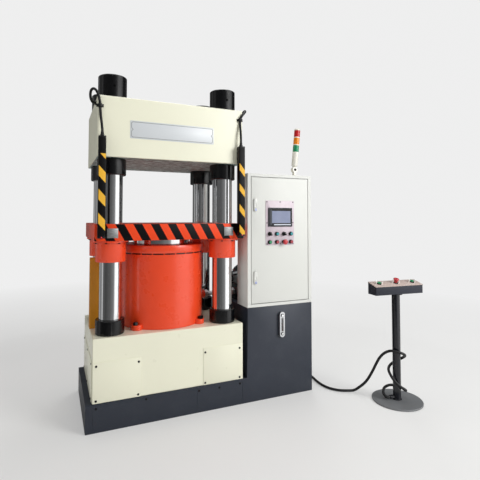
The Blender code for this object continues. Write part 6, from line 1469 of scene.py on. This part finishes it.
def make_valves():
    """Manifold, its valves with their coils and plugs, and the pressure pipe."""
    dress("valve_block", BLACK_STEEL)
    top = MANIFOLD_TOP
    coils, plugs, bodies = [], [], []
    for share in VALVE_SHARES:
        x = MANIFOLD_LEFT + share * MANIFOLD_WIDTH
        bodies.append(slab(x, VALVE_HALF, -VALVE_REACH, VALVE_REACH, top, top + VALVE_HEIGHT, VALVE_EDGE))
        for sign, side in ((-1, FRONT), (1, REAR)):
            place = at(x, sign * COIL_REACH, top + COIL_RISE) @ side
            coils += [(disc, *COIL, place, CAP_SIDES), (disc, *COIL_NUT, place, COARSE)]
            depths = sorted(sign * reach for reach in COIL_PLUG_REACHES)
            levels = [top + rise for rise in COIL_PLUG_LEVELS]
            plugs.append(slab(x, COIL_PLUG_HALF, *depths, *levels, COIL_PLUG_EDGE))
    piece("valve_bodies", STEEL, bodies)
    piece("valve_coils", BLACK_PLASTIC, coils)
    piece("valve_plugs", BLACK_RUBBER, plugs)
    spots, reach = [], MANIFOLD_BOLT_REACH
    for x in (MANIFOLD_LEFT + MANIFOLD_BOLT_INSET, MANIFOLD_LEFT + MANIFOLD_WIDTH - MANIFOLD_BOLT_INSET):
        spots += [at(x, y, top) for y in (-reach, reach)]
    piece("manifold_bolts", BLACK_SCREW, each(socket_screw, spots, *MANIFOLD_BOLT))
    low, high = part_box("pressure_pipe")
    axis = at(low.x, 0, PORT_HEIGHT) @ RIGHT
    length = high.x - low.x
    steps = [(PIPE_RADIUS, PIPE_INSET, length - PIPE_INSET, PIPE_EDGE)]
    nuts = [(PIPE_NUT_RADIUS, start, start + PIPE_NUT, PIPE_NUT_EDGE) for start in (0, length - PIPE_NUT)]
    collars = []
    for start in (PIPE_NUT, length - PIPE_NUT - PIPE_COLLAR + PIPE_COLLAR_SINK):
        levels = start - PIPE_COLLAR_SINK, start + PIPE_COLLAR
        collars.append((PIPE_COLLAR_RADIUS, *levels, PIPE_COLLAR_EDGE))
    pipe = stack(steps, axis) + stack(nuts, axis, 6) + stack(collars, axis)
    piece("cylinder_pipe", ZINC, pipe, node="pressure_pipe")


# Control stand: foot, pole with its collars and gland, box with its sloping top, and lid
STAND_X, STAND_Y = 1.598, -0.754
STAND_TURN_DEG = -5.75
STAND_PLACE = at(STAND_X, STAND_Y) @ turned(STAND_TURN_DEG)
STAND_LOW = 0.789
STAND_FOOT = (0.1775, 0, 0.012, 0.002)
POLE_LOW, POLE_TOP, POLE_SIDES = 0.0123, STAND_LOW - GAP, 64
POLE_RINGS = (
    (0.0255, 0.0285, POLE_LOW, POLE_TOP, 0.0005), (0.0286, 0.034, POLE_LOW, 0.0180, 0.004),
    (0.0286, 0.046, STAND_LOW - 0.006, POLE_TOP, 0.001),
)
POLE_GLAND_NUT, POLE_GLAND_CAP = (0.0136, 0.026, 0.012, 0.001), (0.0130, 0.014, 0.0005, 0.002)
STAND_FRONT_HEIGHT, STAND_REAR_HEIGHT = 0.062, 0.086
STAND_HALF_DEPTH, STAND_HALF_WIDTH, STAND_EDGE = 0.046, 0.208, 0.0018
STAND_SLOPE = math.atan2(STAND_REAR_HEIGHT - STAND_FRONT_HEIGHT, 2 * STAND_HALF_DEPTH)
SIDEWAYS = Matrix(((0, 0, 1, 0), (1, 0, 0, 0), (0, 1, 0, 0), (0, 0, 0, 1)))
LID_THICKNESS, LID_SINK, LID_MARGIN, LID_EDGE = 0.003, 0.0012, 0.002, 0.001

# On the lid: screws, guards, collars, palm buttons and the emergency stop
LID_SCREWS, LID_SCREW_REACH, LID_SCREW = (-0.196, -0.070, 0.070, 0.196), 0.037, (0.0036, 0.0018)
PALM_REACH, PALM_BUTTON = 0.148, (0.012, 0.0073, 0.0140, 0.0120, 0.0075)
GUARDS = ((-PALM_REACH, 0.0195, 0.0225), (0, 0.0215, 0.022), (PALM_REACH, 0.0195, 0.0225))
GUARD_STARTS_DEG, GUARD_SPAN_DEG, GUARD_STEPS = (-72, 112), 70, 12
GUARD_LOW, GUARD_WALL, GUARD_EDGE = 0.0028, 0.0035, 0.0008
STAND_COLLAR = (0.0125, 0.0175, 0.0028, 0.0075, 0.001)
STOP_PROFILE = (
    (0, 0.0400), (0.0120, 0.0398), (0.0180, 0.0382), (0.0203, 0.0350), (0.0203, 0.0320),
    (0.0165, 0.0250), (0.0125, 0.0205), (0.0120, 0.0090), (0, 0.0090),
)


def stand_top(x):
    """A place on the middle line of the box's sloping top, with local +Z out of it."""
    middle = STAND_LOW + (STAND_REAR_HEIGHT + STAND_FRONT_HEIGHT) / 2
    return STAND_PLACE @ at(x, 0, middle) @ Matrix.Rotation(STAND_SLOPE, 4, "X")


def make_stand():
    """Two-hand stand: foot, pole with its cable gland, and the box with its lid."""
    piece("stand_foot", BASE_GREY, [(disc, *STAND_FOOT, STAND_PLACE, FINEST)], node="stand_base")
    end = Vector(CONDUIT_ROUTE[-1])
    centre = Vector((STAND_X, STAND_Y, end.z))
    reach = (end - centre).length
    turn = Vector((0, 0, 1)).rotation_difference((end - centre).normalized()).to_matrix().to_4x4()
    gland = at(*centre) @ turn
    pole = [(ring, *values, STAND_PLACE, POLE_SIDES) for values in POLE_RINGS]
    radius, start, inset, edge = POLE_GLAND_NUT
    pole.append((disc, radius, start, reach - inset, edge, gland, 6))
    radius, start, inset, edge = POLE_GLAND_CAP
    pole.append((disc, radius, reach - start, reach - inset, edge, gland))
    piece("stand_tube", DARK_SLATE, pole, node="stand_pole")
    outline = [
        (-STAND_HALF_DEPTH, STAND_LOW), (STAND_HALF_DEPTH, STAND_LOW),
        (STAND_HALF_DEPTH, STAND_LOW + STAND_REAR_HEIGHT),
        (-STAND_HALF_DEPTH, STAND_LOW + STAND_FRONT_HEIGHT),
    ]
    half = STAND_HALF_WIDTH
    box = (prism, outline, -half, half, STAND_PLACE @ SIDEWAYS, STAND_EDGE, 3)
    piece("stand_housing", STAND_SLATE, [box], node="stand_box")
    depth, wide = STAND_HALF_DEPTH / math.cos(STAND_SLOPE) + LID_MARGIN, half + LID_MARGIN
    lid = (-wide, -depth, -LID_SINK), (wide, depth, LID_THICKNESS)
    piece("stand_lid", BEIGE, [(block, *lid, LID_EDGE, 2, stand_top(0))])


def make_stand_controls():
    """Screws, guards, collars, palm buttons and emergency stop on the stand's lid."""
    spots = []
    for x in LID_SCREWS:
        spots += [stand_top(x) @ at(0, y, LID_THICKNESS) for y in (-LID_SCREW_REACH, LID_SCREW_REACH)]
    piece("stand_lid_screws", ZINC, each(pan_screw, spots, *LID_SCREW))
    guards = []
    for x, inner, top in GUARDS:
        for start in GUARD_STARTS_DEG:
            arc = [(start + GUARD_SPAN_DEG * i / GUARD_STEPS) / 360 for i in range(GUARD_STEPS + 1)]
            outline = polar((inner + GUARD_WALL, t) for t in arc) + polar((inner, t) for t in reversed(arc))
            guards.append((prism, outline, GUARD_LOW, top, stand_top(x), GUARD_EDGE))
    piece("stand_guards", GUARD_WHITE, guards)
    places = [stand_top(x) for x in (-PALM_REACH, 0, PALM_REACH)]
    collars = [(ring, *STAND_COLLAR, place, MEDIUM) for place in places]
    piece("stand_button_collars", BLACK_PLASTIC, collars)
    for side, place in (("left", places[0]), ("right", places[2])):
        mushroom(f"palm_button_{side}", place, GREEN, *PALM_BUTTON)
    name = "stand_emergency_stop"
    stop = (lathe, STOP_PROFILE, places[1], HEAD_SIDES)
    piece(f"{name}_head", RED, [stop], f"{name}_body", name, sharp=HEAD_SHARP_DEG)


def make_camera():
    """Camera from the photograph's place."""
    camera = bpy.data.objects.new("camera", bpy.data.cameras.new("camera"))
    bpy.context.scene.collection.objects.link(camera)
    turn = turned(CAMERA_YAW_DEG) @ turned(CAMERA_PITCH_DEG, "X") @ turned(CAMERA_ROLL_DEG)
    camera.matrix_world = at(*CAMERA_PLACE) @ turn
    camera.data.lens = CAMERA_LENS
    camera.data.shift_x, camera.data.shift_y = CAMERA_SHIFT
    bpy.context.scene.camera = camera


def make_lamps():
    """Round soft lamps, each turned to one target."""
    for name, (place, size, power) in LAMPS.items():
        data = bpy.data.lights.new(f"{name}_lamp", "AREA")
        data.shape = "DISK"
        data.size = size
        data.energy = power
        lamp = bpy.data.objects.new(f"{name}_lamp", data)
        bpy.context.scene.collection.objects.link(lamp)
        away = Vector(place) - Vector(LAMP_TARGET)
        lamp.rotation_mode = "QUATERNION"
        lamp.rotation_quaternion = away.to_track_quat("Z", "Y")
        lamp.location = place


def make_world():
    """Even pale surroundings: dimmer as light than as background."""
    made = Nodes("studio", "worlds")
    path = made.add("ShaderNodeLightPath").outputs
    seen = made.math("MAXIMUM", path["Is Camera Ray"], path["Is Glossy Ray"])
    seen = made.math("MAXIMUM", seen, path["Is Transmission Ray"])
    strength = made.span(seen, SKY_STRENGTH, BACKDROP_STRENGTH, 0, 1)
    bpy.context.scene.world = made.set(Color=(1, 1, 1, 1), Strength=strength)


def make_bands():
    """Ring of light and dark bands round the studio, for chrome to show and for nothing else."""
    made = Nodes("studio_bands_finish")
    x, y, _ = made.split("ShaderNodeTexCoord", "Object")
    angle = made.math("ARCTAN2", y, x)
    bands = made.add("ShaderNodeValToRGB", {0: made.span(angle, 0, 1, -math.pi, math.pi)})
    ramp = bands.color_ramp
    ramp.interpolation = "EASE"
    for place, _ in BANDS[1:-1]:
        ramp.elements.new(place)
    for element, (place, level) in zip(ramp.elements, BANDS):
        element.position = place
        element.color = (level, level, level, 1)
    ripple = made.math("SINE", made.math("MULTIPLY", angle, BAND_RIPPLES))
    level = made.math("MULTIPLY", bands.outputs[0], made.span(ripple, *RIPPLE_LEVELS, -1, 1))
    finish = made.show(made.add("ShaderNodeEmission", {"Strength": level}).outputs[0])
    bm = bmesh.new()
    corners = polar((BAND_RADIUS, i / BAND_SIDES) for i in range(BAND_SIDES))
    low, high = ([bm.verts.new((x, y, z)) for x, y in corners] for z in (BAND_FOOT, BAND_HEIGHT))
    for i in range(BAND_SIDES):
        k = (i + 1) % BAND_SIDES
        bm.faces.new((low[k], low[i], high[i], high[k]))
    wall = shown("studio_bands", bm)
    wall.data.materials.append(finish)
    wall.location = BAND_CENTRE
    wall.visible_camera = False
    wall.visible_diffuse = False
    wall.visible_transmission = False
    wall.visible_volume_scatter = False
    wall.visible_shadow = False


def make_floor():
    """Pale floor that keeps the shadows and fades into the backdrop with distance."""
    bm = bmesh.new()
    bmesh.ops.create_grid(bm, x_segments=1, y_segments=1, size=FLOOR_SIZE / 2)
    floor = shown("floor", bm)
    made = Nodes("floor_finish")
    base = made.shades(made.span(made.noise(0.8, 5), 0, 1), "floor", 0.98, 1.02)
    made.set(Base_Color=base, Roughness=0.7, Specular_IOR_Level=0.2)
    away = made.add("ShaderNodeVectorMath", {0: made.place()}, operation="LENGTH")
    far = made.span(away.outputs["Value"], FLOOR_SHARE, 1, *FLOOR_FADE)
    far = made.math("MULTIPLY", far, made.add("ShaderNodeLightPath").outputs["Is Camera Ray"])
    backdrop = made.add("ShaderNodeEmission", {"Strength": BACKDROP_STRENGTH})
    both = made.add("ShaderNodeMixShader", {0: far, 1: made.shader.outputs[0], 2: backdrop.outputs[0]})
    floor.data.materials.append(made.show(both.outputs[0]))


make_camera()
make_conduit()
make_curtain_cables()
make_base()
make_tank_fittings()
make_bed()
make_crown()
make_columns()
make_cylinder()
make_platen()
make_light_curtains()
dress("switch_guard", MUSTARD)
make_gauge()
make_cabinet()
make_door()
make_locks()
make_door_seal()
make_cabinet_inside()
make_panel()
make_controls()
make_tower()
make_motor()
make_pump()
make_valves()
make_stand()
make_stand_controls()
make_lamps()
make_world()
make_bands()
make_floor()

scene = bpy.context.scene
scene.view_settings.view_transform = "Standard"
